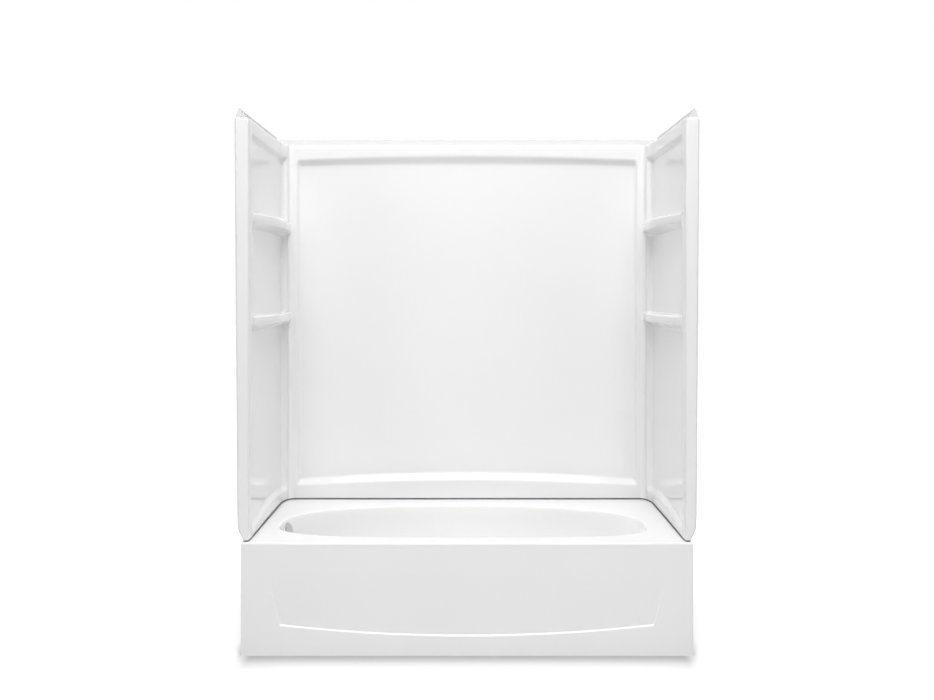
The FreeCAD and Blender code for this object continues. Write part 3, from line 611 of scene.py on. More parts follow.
def back_heights(x):
    """Heights of a column's rows: close together where the field bends and round each clip's seat."""
    foot, sunk_foot, head, sunk_head = back_bevels(x)
    low = [foot + (sunk_foot - foot) * t for t in stretch(-0.4, 1.4, 18)]
    high = [head + (sunk_head - head) * (1 - t) for t in stretch(-0.4, 1.4, 18)]
    middle = stretch(510, 1715, 26)
    for z in CLIP_PLACES:
        middle += [z + side * (CLIP_SEAT_HALF + step) for side in (-1, 1) for step in (0, STEP)]
    heights = [FOOT] + stretch(FOOT, low[0] - 1, 3) + low + sorted(middle) + high
    return heights + stretch(high[-1], TOP - BACK_BROW, 3)


def back_depth(x, z):
    """How far the field is sunk here."""
    foot, sunk_foot, head, sunk_head = back_bevels(x)
    share = (soft_ramp((FIELD_HALF - x) / FIELD_SIDE_BEVEL) * soft_ramp((z - foot) / (sunk_foot - foot))
             * soft_ramp((head - z) / (head - sunk_head)))
    return FIELD_DEPTH * share + foot_roll(z, foot - FOOT)


def back_column(stop):
    """One column of the panel: its face, its brow, its top and the nailing flange."""
    x, setback, inward, brow, _ = stop
    points = [(x, setback + (back_depth(x, z) if brow == BACK_BROW else 0), z) for z in back_heights(x)]
    for turn in quarter(6):
        inset = brow * (1 - math.cos(turn))
        points.append((x + inward[0] * inset, min(setback + inward[1] * inset, FLANGE_FACE),
                       TOP - BACK_BROW + BACK_BROW * math.sin(turn)))
    points += [(x, FLANGE_FACE, z) for z in (TOP, BACK_FLANGE_TOP)]
    if TONGUE_REAR < setback < FLANGE_FACE:
        points = [(a, b, max(z, OVER_UPSTAND)) for a, b, z in points]
    return [in_metres(*point) for point in points]


def back_of_column(stop, column, numeric):
    """The same column on the panel's rear side."""
    x, behind = stop[0], stop[4]
    points = list(numeric)
    if behind:
        points = [in_metres(*behind, min(point.z * 1000, TOP - GAUGE)) for point in column]
    if x > CLIP_SEAT_START + STEP / 2:
        seated = [any(abs(point.z * 1000 - z) <= CLIP_SEAT_HALF for z in CLIP_PLACES) for point in column]
        points = [in_metres(x, CLIP_SEAT_FACE, p.z * 1000) if seat else p for p, seat in zip(points, seated)]
    edge = points[-3].x * 1000
    return points[:-2] + [in_metres(edge, BATH_DEPTH, z) for z in (TOP - GAUGE, BACK_FLANGE_TOP)]


print("stops from the middle to the side:", len(back_plan()), "heights:", len(back_heights(0)))

# %% Build the back panel
plan = back_plan()
columns = [back_column(stop) for stop in plan]
mirror = Vector((-1, 1, 1))
grid = [[point * mirror for point in column] for column in columns[:0:-1]] + columns
rear = set_back(grid, GAUGE)[len(plan) - 1:]
rear = [back_of_column(stop, column, numeric) for stop, column, numeric in zip(plan, columns, rear)]
rear = [[point * mirror for point in column] for column in rear[:0:-1]] + rear
sheet = bmesh.new()
add_sheet(sheet, grid, rear)
tidied(sheet)
back_skin = new_object("back_skin", sheet, moulding, rough_back)


def behind_back(x, z):
    """A rib's inner and outer point at this place of the panel."""
    return in_metres(x, BACK_FACE + back_depth(abs(x), z) + GAUGE / 2, z), in_metres(x, FLANGE_FACE, z)


ribs = []
for x in even_places(5, -BACK_HALF, BACK_HALF):
    inner, outer = zip(*[behind_back(x, z) for z in [OVER_UPSTAND + 1] + back_heights(abs(x))[8:] + [TOP - 6]])
    ribs.append((inner, outer, Vector((RIB_HALF, 0, 0))))
for z in even_places(3, FOOT, TOP):
    inner, outer = zip(*[behind_back(x, z) for x in stretch(-FOOT_PLATE_HALF, FOOT_PLATE_HALF, 120)])
    ribs.append((inner, outer, Vector((0, 0, RIB_HALF))))
foot_plate = [[in_metres(x, setback, FOOT + GAUGE / 2) for setback in (710.0, FOOT_PLATE_REAR)]
              for x in (-FOOT_PLATE_HALF, FOOT_PLATE_HALF)]
tab = [[in_metres(x, FOOT_PLATE_REAR - GAUGE / 2, z) for z in (FOOT + 1, TAB_TOP)]
       for x in (-BACK_HALF, BACK_HALF)]
ribs.append((*zip(*foot_plate), Vector((0, 0, GAUGE / 2))))
ribs.append((*zip(*tab), Vector((0, GAUGE / 2, 0))))
back_panel = merged("back_panel", [back_skin, ribs_made("back_ribs", ribs)])
skin_flange(back_panel)
print("back panel:", len(back_panel.data.polygons), "faces")

# %% [markdown]
# ## The end panels
# Each end panel has a sunk field as well, but its rear side has no border: the field sweeps
# forward in a cove until it meets the back panel. At the front the sheet flares a little,
# turns out over the bath's edge as a rounded lip and rolls back. Two bow-fronted shelves
# stand out of the field. All of that is still one sheet, so the same kind of grid makes it.

# %% Plan and depth of an end panel
END_FACE = 735.5
END_CORNER = 723.2
CORNER = 687.0
END_REAR = 731.0
END_OUTER = 772.0
LIP_FRONT = 10.0
LIP_RETURN = 26.0
LIP_FOOT_HALF = 776.8
LIP_TOP_HALF = 786.0
LIP_OUTER_RADIUS = 9.0
LIP_INNER_RADIUS = 4.0
LIP_CUT = 19.0
LIP_CUT_HEIGHT = 48.0
FLARE = 4.9
FLARE_END = 52.0
TURN_IN_START = 620.0
FIELD_SPAN = (60.0, 367.0, 674.0)
END_FIELD_DEPTH = 11.0
COVE = END_FACE + END_FIELD_DEPTH - END_CORNER
COVE_START = CORNER - COVE
END_BROW = 9.0
REAR_CORNER = END_CORNER + GAUGE
REAR_SQUARE_START = 675.0


def end_border_x(setback):
    """The border's face: it flares at the front and turns in at the corner."""
    flare = FLARE * (max(FLARE_END - setback, 0) / (FLARE_END - LIP_FRONT)) ** 2
    turn = (END_FACE - END_CORNER) * (max(setback - TURN_IN_START, 0) / (CORNER - TURN_IN_START)) ** 2
    return END_FACE + flare - turn


def end_field_x(setback):
    """The sunk field, with its bevel at the front and its cove at the rear."""
    border = end_border_x(setback)
    sunk = END_FACE + END_FIELD_DEPTH
    if setback > COVE_START:
        sunk = END_CORNER + math.sqrt(max(COVE ** 2 - (setback - COVE_START) ** 2, 0))
    return border + soft_ramp((setback - FIELD_SPAN[0]) / 10.5) * (sunk - border)


def end_bevels(setback):
    """The foot and head edges of the sunk field at this setback, with their bevels."""
    at = min(max(setback, FIELD_SPAN[0]), FIELD_SPAN[2])
    foot = FOOT + through_three(FIELD_SPAN, (18.0, 46.0, 38.0), at)
    head = TOP - through_three(FIELD_SPAN, (48.0, 51.0, 48.0), at)
    return foot, foot + through_three(FIELD_SPAN, (17.0, 18.0, 15.0), at), head, head - 17.0


def end_face_x(setback, z):
    """The panel's face at this setback and height, without its shelves."""
    foot, sunk_foot, head, sunk_head = end_bevels(setback)
    share = soft_ramp((z - foot) / (sunk_foot - foot)) * soft_ramp((head - z) / (head - sunk_head))
    border = end_border_x(setback)
    rolled = foot_roll(z, foot - FOOT) if LIP_RETURN < setback < CORNER else 0
    return border + rolled + share * (end_field_x(setback) - border)


print("field, from front to corner:", [round(end_field_x(s), 1) for s in (30, 62, 75, 400, 665, 680, 687)])

# %% Shelves of the end panels
SHELF_TOPS = (1142.0, 1498.0)
SHELF_HEIGHT = 32.0
SHELF_DROP = 22.0
SHELF_FRONT = 66.0
SHELF_SPOTS = (66.0, 420.0, 707.0)
SHELF_EDGE = 8.0
SHELF_COVE = 3.0
SHELF_REACH_START = 650.0


def shelf_profile(reach):
    """Upwards round a shelf's section: its distance from the field, and its height from the top."""
    edge = min(SHELF_EDGE, reach * 0.42)
    points = [(reach * share, -SHELF_HEIGHT - SHELF_DROP * (1 - share)) for share in (0, 0.3, 0.6, 0.85)]
    points += [(reach - min(2.0, edge / 2), -SHELF_HEIGHT - 1.2), (reach - 0.5, -SHELF_HEIGHT),
               (reach, -SHELF_HEIGHT + 1.8), (reach, -0.6 * SHELF_HEIGHT), (reach, -edge)]
    points += [(reach - edge + edge * math.cos(turn), -edge + edge * math.sin(turn)) for turn in quarter(6)]
    cove = min(SHELF_COVE, reach * 0.3)
    points += [((reach - edge) * 0.6 + cove * 0.4, 0.0), ((reach - edge) * 0.3 + cove * 0.7, 0.0)]
    return points + [(cove * (1 - math.sin(turn)), cove * (1 - math.cos(turn))) for turn in quarter(4)]


def shelf_lip_x(setback):
    """The shelf's bowed front edge at this setback."""
    return END_FACE - through_three(SHELF_SPOTS, (2.0, 45.0, 20.0), min(setback, SHELF_SPOTS[2]))


def back_panel_edge(x):
    """Where the back panel's face starts beside a shelf, with a hair of clearance."""
    across = min(max(x - BACK_TURN_START, 0), BACK_TURN_RADIUS)
    return CORNER + math.sqrt(BACK_TURN_RADIUS ** 2 - across ** 2) - 0.6


def shelf_points(top, setback, presence):
    """A shelf's rows in one column. Without presence they lie in the panel's face."""
    field = end_face_x(setback, top)
    full = shelf_profile(max(field - shelf_lip_x(setback), 2.0))
    near = min(max((setback - SHELF_REACH_START) / (CORNER - SHELF_REACH_START), 0), 1) ** 2 * presence
    rows = []
    for number, (out, rise) in enumerate(full):
        flat = -SHELF_HEIGHT - SHELF_DROP + (SHELF_HEIGHT + SHELF_DROP + SHELF_COVE) * number / (len(full) - 1)
        z = top + flat + presence * (rise - flat)
        x = end_face_x(setback, z) - presence * out
        reach_back = near * max(back_panel_edge(x) - CORNER, 0) if out > SHELF_COVE else 0
        rows.append((x, setback + reach_back, z))
    return rows


print("rows round a shelf:", len(shelf_profile(40)))

# %% Columns of an end panel


def on_face(setback, heights):
    """Points of the panel's face at these heights."""
    return [(end_face_x(setback, z), setback, z) for z in heights]


def end_column(setback, presence):
    """One column of the face, from its foot up to the brow."""
    foot, sunk_foot, head, sunk_head = end_bevels(setback)
    low = [foot + (sunk_foot - foot) * t for t in stretch(-0.4, 1.4, 15)]
    high = [head + (sunk_head - head) * (1 - t) for t in stretch(-0.4, 1.4, 15)]
    points = on_face(setback, [FOOT] + stretch(FOOT, low[0] - 1, 2) + low)
    reached = low[-1]
    for top in SHELF_TOPS:
        points += on_face(setback, stretch(reached, top - SHELF_HEIGHT - SHELF_DROP - 2, 16))
        points += shelf_points(top, setback, presence)
        reached = top + SHELF_COVE + 2
        points += on_face(setback, [reached])
    rest = stretch(reached, high[0] - 1, 10) + high + stretch(high[-1], TOP - END_BROW, 2)
    return points + on_face(setback, rest)


def lip_cut(z):
    """How far the lip's outer corner is rounded off over the deck."""
    return LIP_CUT * max(1 - (z - FOOT) / LIP_CUT_HEIGHT, 0) ** 1.35


def end_stops():
    """Stops round the plan from the lip: x, setback, inward, the lip's share, shelf's presence, brow."""
    outer_centre = (LIP_FOOT_HALF - LIP_OUTER_RADIUS, LIP_FRONT + LIP_OUTER_RADIUS)
    face_start = LIP_FRONT + LIP_INNER_RADIUS
    inner_centre = (end_border_x(face_start) + LIP_INNER_RADIUS, face_start)
    stops = [(LIP_FOOT_HALF, setback, (-1, 0), 1, 0, END_BROW) for setback in (LIP_RETURN, 22.0, outer_centre[1])]
    for turn in quarter(6):
        stops.append((outer_centre[0] + LIP_OUTER_RADIUS * math.cos(turn),
                      outer_centre[1] - LIP_OUTER_RADIUS * math.sin(turn),
                      (-math.cos(turn), math.sin(turn)), 1, 0, END_BROW))
    for share in (0.75, 0.5, 0.25):
        stops.append((inner_centre[0] + (outer_centre[0] - inner_centre[0]) * share, LIP_FRONT,
                      (0, 1), share, 0, END_BROW))
    for turn in [0] + quarter(5):
        stops.append((inner_centre[0] - LIP_INNER_RADIUS * math.sin(turn),
                      inner_centre[1] - LIP_INNER_RADIUS * math.cos(turn),
                      (math.sin(turn), math.cos(turn)), 0, 0, END_BROW))
    shelf_start = SHELF_FRONT + 0.4
    face = [(s, 0) for s in stretch(face_start, 57, 10) + stretch(57, 65, 8)]
    face += [(SHELF_FRONT - 0.4, 0.06), (SHELF_FRONT, 0.5), (shelf_start, 0.94)]
    face += [(s, 1) for s in stretch(shelf_start, 74, 7) + stretch(74, 640, 40) + stretch(640, COVE_START, 6)]
    face += [(COVE_START + COVE * math.sin(turn), 1) for turn in quarter(14)]
    stops += [(None, setback, (1, 0), 0, presence, END_BROW) for setback, presence in face]
    stops += [(END_CORNER, setback, (1, 0), 0, 0, 0)
              for setback in (687.8, FOOT_PLATE_REAR, FOOT_PLATE_REAR + STEP, END_REAR)]
    return stops + [(x, END_REAR, (0, -1), 0, 0, 0) for x in (END_CORNER + 1, 748.0, END_OUTER)]


def end_points(stop):
    """The stop's whole column, with the lip's slant, the foot's notch and the brow."""
    x, setback, inward, lip, presence, brow = stop
    points = end_column(min(setback, CORNER), presence)
    if x is not None:
        slant = (LIP_TOP_HALF - LIP_FOOT_HALF) / (TOP - FOOT)
        points = [(x + lip * ((z - FOOT) * slant - lip_cut(z)), setback, z) for _, _, z in points]
    last_x, last_setback, last_z = points[-1]
    for turn in quarter(6):
        inset = brow * (1 - math.cos(turn))
        points.append((last_x + inward[0] * inset, last_setback + inward[1] * inset,
                       last_z + END_BROW * math.sin(turn)))
    low = OVER_UPSTAND if setback > FOOT_PLATE_REAR + STEP / 2 else FOOT
    return [in_metres(a, b, max(z, low)) for a, b, z in points]


def end_rear_points(stop, column, numeric):
    """The same column on the panel's rear side."""
    x, setback = stop[:2]
    points = list(numeric)
    if setback > REAR_SQUARE_START:
        points = [Vector((max(p.x, REAR_CORNER / 1000), p.y, p.z)) for p in points]
    if x and setback > CORNER:
        behind = (max(x, REAR_CORNER), min(max(setback, CORNER + GAUGE), END_REAR - GAUGE))
        points = [in_metres(*behind, p.z * 1000) for p in column]
    return points[:-1] + [Vector((points[-1].x, points[-1].y, (TOP - GAUGE) / 1000))]


print("columns:", len(end_stops()), "rows:", len(end_points(end_stops()[0])))

# %% Sheet, foot and tab of an end panel


def end_skin():
    """The right end panel's sheet: face, lip, rear turn and top."""
    stops = end_stops()
    columns = [end_points(stop) for stop in stops]
    rear = [end_rear_points(*parts) for parts in zip(stops, columns, set_back(columns, -GAUGE))]
    sheet = bmesh.new()
    front_verts, rear_verts = add_sheet(sheet, columns, rear)
    sheet.faces.new([line[-1] for line in front_verts])
    sheet.faces.new([line[-1] for line in rear_verts]).material_index = 1
    return sheet


def end_foot():
    """Plates that close the right end panel's foot, and the tab that stands in the deck's channel."""
    middle = FOOT + GAUGE / 2
    face = [14.0, LIP_RETURN, FLARE_END] + stretch(FLARE_END, TURN_IN_START, 8) + stretch(TURN_IN_START, 686, 6)
    plate = [(in_metres(end_border_x(min(s, CORNER)) + GAUGE - 0.5, s, middle), in_metres(750.5, s, middle))
             for s in face + [FOOT_PLATE_REAR]]
    lip = [(in_metres(745.0, s, middle), in_metres(x, s, middle)) for s, x in ((13.5, 749.0), (LIP_RETURN, 754.0))]
    tab = [(in_metres(748.5, s, FOOT + 1), in_metres(748.5, s, TAB_TOP)) for s in (36.0, FOOT_PLATE_REAR)]
    return ribs_made("end_foot", [(*zip(*plate), Vector((0, 0, GAUGE / 2))),
                                  (*zip(*lip), Vector((0, 0, GAUGE / 2 - 0.1))),
                                  (*zip(*tab), Vector((GAUGE / 2, 0, 0)))])


print("right foot plate from", FOOT, "to", FOOT + GAUGE, "mm")

# %% Nailing flange and ribs of an end panel
FLANGE_OUTER = 772.5
FLANGE_TOP = TOP + 30.0
RIB_OUTER = 768.0


def end_flange():
    """The nailing flange over the right end panel's top, and its return at the front."""
    sheet = bmesh.new()
    add_plate(sheet, (FLANGE_OUTER - GAUGE, 30.0, TOP - GAUGE), (FLANGE_OUTER, 690.0, FLANGE_TOP))
    add_plate(sheet, (FLANGE_OUTER - 5, 16.0, TOP - GAUGE), (FLANGE_OUTER - 1, 33.0, FLANGE_TOP))
    bmesh.ops.recalc_face_normals(sheet, faces=sheet.faces)
    return new_object("end_flange", sheet, moulding)


def end_gusset():
    """The gusset at the flange's front, apart from the bevelled plates, so its faces keep their order."""
    gusset = [(in_metres(x, 16.0, TOP - 6), in_metres(top_x, 16.0, FLANGE_TOP))
              for x, top_x in ((744.4, 767.5), (LIP_TOP_HALF - 2, 771.5))]
    return ribs_made("end_gusset", [(*zip(*gusset), Vector((0, GAUGE / 2, 0)))])


def behind_end(setback, z):
    """A rib's inner and outer point at this place of the panel."""
    return in_metres(end_face_x(min(setback, CORNER), z) + GAUGE / 2, setback, z), in_metres(RIB_OUTER, setback, z)


def end_ribs():
    """Uprights and bands behind the right end panel."""
    ribs = []
    for setback in even_places(3, LIP_FRONT, END_REAR):
        inner, outer = zip(*[behind_end(setback, z) for z in stretch(404, TOP - 5, 110)[1:]])
        ribs.append((inner, outer, Vector((0, RIB_HALF, 0))))
    for z in even_places(4, FOOT, TOP):
        inner, outer = zip(*[behind_end(setback, z) for setback in stretch(27, END_REAR - 4, 90)])
        ribs.append((inner, outer, Vector((0, 0, RIB_HALF))))
    return ribs_made("end_ribs", ribs)


print("ribs at", [round(s, 1) for s in even_places(3, LIP_FRONT, END_REAR)])

# %% [markdown]
# ## One panel and its mirror image
# Both ends are the same panel, mirrored. Modelling the second one anew would let the two
# drift apart. Mirroring the points turns every face inside out, so all faces are reversed
# after it and point outwards again.

# %% Build both end panels
sheet = end_skin()
tidied(sheet)
right_parts = [new_object("end_skin", sheet, moulding, rough_back), end_foot(), end_flange(), end_gusset(),
               end_ribs()]
end_panels = {"right": merged("right_end_panel", right_parts)}
mirrored = bmesh.new()
mirrored.from_mesh(end_panels["right"].data)
for vertex in mirrored.verts:
    vertex.co.x = -vertex.co.x
bmesh.ops.reverse_faces(mirrored, faces=mirrored.faces)
end_panels["left"] = merged("left_end_panel", [new_object("mirrored", mirrored, moulding, rough_back)])
for word, panel in end_panels.items():
    skin_flange(panel)
    print(word, "end panel:", len(panel.data.polygons), "faces")

# %% Put the panels in the place of their CAD nodes
for piece, node_name in ((back_panel, "back_wall"), (end_panels["left"], "left_end_wall"),
                         (end_panels["right"], "right_end_wall")):
    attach(piece, "root")
    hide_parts(node_name)
    print_boxes(piece, node_name)

# %% [markdown]
# ## Small parts that repeat
# Clips, screws and pads come in rows, so each is made once, as finely as it would be by
# hand, and Geometry Nodes set it in its places: a line of points, a second line on each of
# them, then the piece on every point. Realize Instances turns the result into one mesh,
# because an export drops instances. Copying objects in a loop would do as well, but the
# named inputs of the tree show the spacing at a glance and can be changed later.

# %% Node tree that sets a piece in rows
rows_tree = bpy.data.node_groups.new("set_in_rows", "GeometryNodeTree")
for socket_name, socket_type in (("Piece", "NodeSocketObject"), ("First Place", "NodeSocketVector"),
                                 ("Turn", "NodeSocketVector"), ("Count Across", "NodeSocketInt"),
                                 ("Step Across", "NodeSocketVector"), ("Count Along", "NodeSocketInt"),
                                 ("Step Along", "NodeSocketVector"), ("Finish", "NodeSocketMaterial")):
    rows_tree.interface.new_socket(socket_name, in_out="INPUT", socket_type=socket_type)
rows_tree.interface.new_socket("Geometry", in_out="OUTPUT", socket_type="NodeSocketGeometry")
given = rows_tree.nodes.new("NodeGroupInput").outputs
across = add_node(rows_tree, "GeometryNodeMeshLine", {"mode": "OFFSET"}, Count=given["Count Across"],
                  Start_Location=given["First Place"], Offset=given["Step Across"]).outputs["Mesh"]
along = add_node(rows_tree, "GeometryNodeMeshLine", {"mode": "OFFSET"}, Count=given["Count Along"],
                 Offset=given["Step Along"]).outputs["Mesh"]
spots = add_node(rows_tree, "GeometryNodeInstanceOnPoints", Points=across, Instance=along).outputs["Instances"]
spots = add_node(rows_tree, "GeometryNodeRealizeInstances", Geometry=spots).outputs["Geometry"]
piece = add_node(rows_tree, "GeometryNodeObjectInfo", Object=given["Piece"]).outputs["Geometry"]
turn = add_node(rows_tree, "FunctionNodeEulerToRotation", Euler=given["Turn"]).outputs["Rotation"]
placed = add_node(rows_tree, "GeometryNodeInstanceOnPoints", Points=spots, Instance=piece, Rotation=turn)
real = add_node(rows_tree, "GeometryNodeRealizeInstances", Geometry=placed.outputs["Instances"]).outputs["Geometry"]
dressed = add_node(rows_tree, "GeometryNodeSetMaterial", Geometry=real, Material=given["Finish"]).outputs["Geometry"]
link_to(rows_tree, rows_tree.nodes.new("NodeGroupOutput"), Geometry=dressed)


def in_rows(name, **inputs):
    """Runs the tree with these inputs and returns its result as a plain piece."""
    carrier = new_object(name, bmesh.new())
    growth = carrier.modifiers.new("rows", "NODES")
    growth.node_group = rows_tree
    sockets = {item.name: item.identifier for item in rows_tree.interface.items_tree if item.in_out == "INPUT"}
    for key, value in inputs.items():
        growth[sockets[key.replace("_", " ")]] = value
    bpy.context.view_layer.update()
    evaluated = carrier.evaluated_get(bpy.context.evaluated_depsgraph_get())
    mesh = bpy.data.meshes.new_from_object(evaluated)
    carrier.modifiers.clear()
    carrier.data = mesh
    return carrier


print("inputs:", [item.name for item in rows_tree.interface.items_tree if item.in_out == "INPUT"])

# %% [markdown]
# ## Spring clips
# Each clip is a strip of spring steel, bent to a U over two flanges. A cut box would leave
# knife edges at the bends, so the strip is a sheet again: its outline follows the U round
# two real bends, and its legs narrow to rounded ends, as a press leaves them.

# %% Make one clip
CLIP_METAL = 1.2
CLIP_GRIP = 16.0
CLIP_HALF_WIDTH = 12.5
CLIP_BEND = 2.2
CLIP_END = (3.5, 3.0)


def spring_clip(name, stack):
    """A clip that straddles a stack of this thickness along Y and opens towards -X."""
    half = stack / 2 + CLIP_METAL
    way = [(-CLIP_GRIP + run, -half) for run in [0, 0.4, 1, 2, 3.5, 6, 10] + stretch(10, CLIP_GRIP - 1, 2)]
    way += [(CLIP_METAL - CLIP_BEND * (1 - math.sin(turn)), -half + CLIP_BEND * (1 - math.cos(turn)))
            for turn in [0] + quarter(6)]
    way += [(CLIP_METAL, 0.0)]
    way += [(x, -y) for x, y in way[-2::-1]]
    columns = []
    for x, y in way:
        near_end = max(1 - (x + CLIP_GRIP) / CLIP_END[0], 0)
        reach = CLIP_HALF_WIDTH - CLIP_END[1] * (1 - math.sqrt(1 - min(near_end, 1) ** 2))
        columns.append([Vector((x, y, reach * share)) / 1000 for share in (-1, -0.97, -0.5, 0, 0.5, 0.97, 1)])
    sheet = bmesh.new()
    add_sheet(sheet, columns, set_back(columns, CLIP_METAL))
    tidied(sheet)
    return pattern_piece(name, sheet, spring)


flange_clip = spring_clip("flange_clip", 8.8)
deck_clip = spring_clip("deck_clip", 11.0)
print("one clip:", len(flange_clip.data.polygons), "faces")

# %% Set the clips in their rows
DECK_CLIP_HEIGHT = 411.2
BACK_DECK_CLIP = (-481.87, 727.3)
END_DECK_CLIP = (752.0, 210.2)
CORNER_CLIP = (772.7, 731.4)
corner_sets = []
deck_sets = [in_rows("clips", Piece=deck_clip, First_Place=in_metres(*BACK_DECK_CLIP, DECK_CLIP_HEIGHT),
                     Turn=Vector((0, -math.pi / 2, 0)), Count_Across=5, Step_Across=Vector((0.24093, 0, 0)),
                     Count_Along=1, Finish=spring)]
for side, turned in ((1, 0), (-1, math.pi)):
    for first, count in ((CLIP_PLACES[0], 1), (CLIP_PLACES[1], 4)):
        place = in_metres(side * CORNER_CLIP[0], CORNER_CLIP[1], first)
        corner_sets.append(in_rows("clips", Piece=flange_clip, First_Place=place,
                                   Turn=Vector((0, 0, turned)), Count_Across=1, Count_Along=count,
                                   Step_Along=Vector((0, 0, 0.2859)), Finish=spring))
    place = in_metres(side * END_DECK_CLIP[0], END_DECK_CLIP[1], DECK_CLIP_HEIGHT)
    deck_sets.append(in_rows("clips", Piece=deck_clip, First_Place=place,
                             Turn=Vector((0, -math.pi / 2, math.pi / 2)), Count_Across=1, Count_Along=3,
                             Step_Along=Vector((0, 0.1742, 0)), Finish=spring))
corner_clips = merged("corner_spring_clips", corner_sets)
deck_clips = merged("deck_spring_clips", deck_sets)
print("clips:", len(corner_clips.data.polygons), "and", len(deck_clips.data.polygons), "faces")

# %% [markdown]
# ## Screws
# The bearers hang from the floor board by countersunk screws that are driven from below.
# What makes a screw read as one is its cross recess and its thread, and both are steps in
# radius or depth over one round grid: a helix for the thread, a dent for the recess.

# %% Make one screw
SCREW_LENGTH = 30.0
SCREW_ROUND = 24
HEAD_HEIGHT = 2.6
THREAD_START = 7.0
THREAD_PITCH = 1.6


def screw_radius(height, share):
    """The screw's radius at a height over its head and a share of a turn."""
    if height < HEAD_HEIGHT:
        return 4.6 - 2.2 * max(height - 0.3, 0) / (HEAD_HEIGHT - 0.3)
    if height < THREAD_START:
        return 1.95
    ridge = abs(((height / THREAD_PITCH - share) % 1) - 0.5) * 2
    point = min((SCREW_LENGTH - height) / 5, 1) ** 0.7 if height < SCREW_LENGTH else 0
    return (1.65 + 0.75 * max(1 - 2.2 * ridge, 0)) * point


def recess_depth(x, y):
    """The cross recess in the head's flat."""
    arm = max(1 - (min(abs(x), abs(y)) / 0.55) ** 4, 0)
    reach = max(1 - (max(abs(x), abs(y)) / 2.4) ** 4, 0)
    return 1.5 * min(arm * 3, 1) * min(reach * 3, 1)


def on_ring(radius, n):
    """X and Y of one of the places round the screw."""
    turn = math.tau * n / SCREW_ROUND
    return radius * math.cos(turn), radius * math.sin(turn)


sheet = bmesh.new()
rings = []
for radius in [0.01] + stretch(0.01, 2.9, 9) + [4.5]:
    around = [on_ring(radius, n) for n in range(SCREW_ROUND)]
    rings.append([sheet.verts.new(Vector((x, y, recess_depth(x, y))) / 1000) for x, y in around])
shank = [HEAD_HEIGHT, 3.2] + stretch(3.2, THREAD_START, 2) + stretch(THREAD_START, SCREW_LENGTH, 90)
for height in [0.15, 0.3] + shank:
    around = [on_ring(max(screw_radius(height, n / SCREW_ROUND), 0.02), n) for n in range(SCREW_ROUND)]
    rings.append([sheet.verts.new(Vector((x, y, height)) / 1000) for x, y in around])
add_strip(sheet, [ring + ring[:1] for ring in rings])
sheet.faces.new(rings[0])
sheet.faces.new(rings[-1])
tidied(sheet)
one_screw = pattern_piece("countersunk_screw", sheet, zinc)
print("one screw:", len(one_screw.data.polygons), "faces")

# %% [markdown]
# ## Pads
# Rubber pads under the bearers keep them from drumming on the floor. Such pads are cut from
# ribbed strip, so the pad is a ribbed section drawn out to its length, with its rims eased.

# %% Make one pad and set the screws and pads
PAD_HALF_WIDTH = 20.0
PAD_HALF_LENGTH = 35.0
PAD_HEIGHT = 5.0
GROOVE = 1.1
section = []
for number in range(8):
    middle = 5.0 * number - 17.5
    section += [(middle - 1.6, 0.0), (middle + 1.6, 0.0), (middle + 2.0, GROOVE), (middle + 3.0, GROOVE)]
left_side = [(-PAD_HALF_WIDTH, PAD_HEIGHT), (-PAD_HALF_WIDTH, GROOVE), (-19.5, GROOVE)]
right_side = [(19.9, GROOVE), (PAD_HALF_WIDTH, GROOVE), (PAD_HALF_WIDTH, PAD_HEIGHT)]
section = left_side + section[:-1] + right_side
section = [spot for spot, before in zip(section, [None] + section) if spot != before]
sheet = bmesh.new()
ends = [[sheet.verts.new(Vector((x, run, z)) / 1000) for x, z in section]
        for run in (-PAD_HALF_LENGTH, PAD_HALF_LENGTH)]
add_strip(sheet, [end + end[:1] for end in ends])
sheet.faces.new(ends[0])
sheet.faces.new(ends[1])
tidied(sheet)
rims = [edge for edge in sheet.edges if len(edge.link_faces) == 2 and edge.calc_face_angle() > 1.0
        and min(v.co.z for v in edge.verts) > 0.0045]
bmesh.ops.bevel(sheet, geom=rims, offset=0.0005, segments=2, affect="EDGES")
one_pad = pattern_piece("ribbed_pad", sheet, rubber)

FIRST_BEARER = -334.0
bearer_step = Vector((0.241, 0, 0))
screws = in_rows("countersunk_screws", Piece=one_screw, First_Place=in_metres(FIRST_BEARER, 265.5, 5.6),
                 Count_Across=3, Step_Across=bearer_step, Count_Along=3, Step_Along=Vector((0, 0.0755, 0)),
                 Finish=zinc)
pads = in_rows("ribbed_pads", Piece=one_pad, First_Place=in_metres(FIRST_BEARER, 75.0, 0.0),
               Count_Across=3, Step_Across=bearer_step, Count_Along=2, Step_Along=Vector((0, 0.584, 0)),
               Finish=rubber)
screws, pads = merged("bearer_screw_set", [screws]), merged("bearer_pad_set", [pads])
print("screws:", len(screws.data.polygons), "faces, pads:", len(pads.data.polygons), "faces")

# %% Put them in the place of their CAD nodes
for piece, node_name, slot_name in ((corner_clips, "corner_clips", "spring_steel"),
                                    (deck_clips, "deck_clips", "spring_steel"),
                                    (screws, "bearer_screws", "screw"), (pads, "bearer_pads", "pad")):
    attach(piece, "root")
    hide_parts(node_name)
    print_boxes(piece, node_name)

# %% [markdown]
# ## Floor and background
# The picture has a white ground that keeps only a narrow soft shadow along the apron's foot.
# More lamp light would whiten the floor but also bleach the bath, so the floor glows only for
# rays that look at it, straight or in a reflection, and all other rays see a pale matt floor.
# The glow is weaker beside the bath, where its shadow falls, and it stops at the apron, where
# a painted shadow darkens the floor's colour a little, because there a soft shadow is too narrow for large lamps.

# %% Helpers for sums in a node tree


def calculated(tree, operation, first, second):
    """A Math node's result."""
    return add_node(tree, "ShaderNodeMath", {"operation": operation}, i0=first, i1=second).outputs[0]


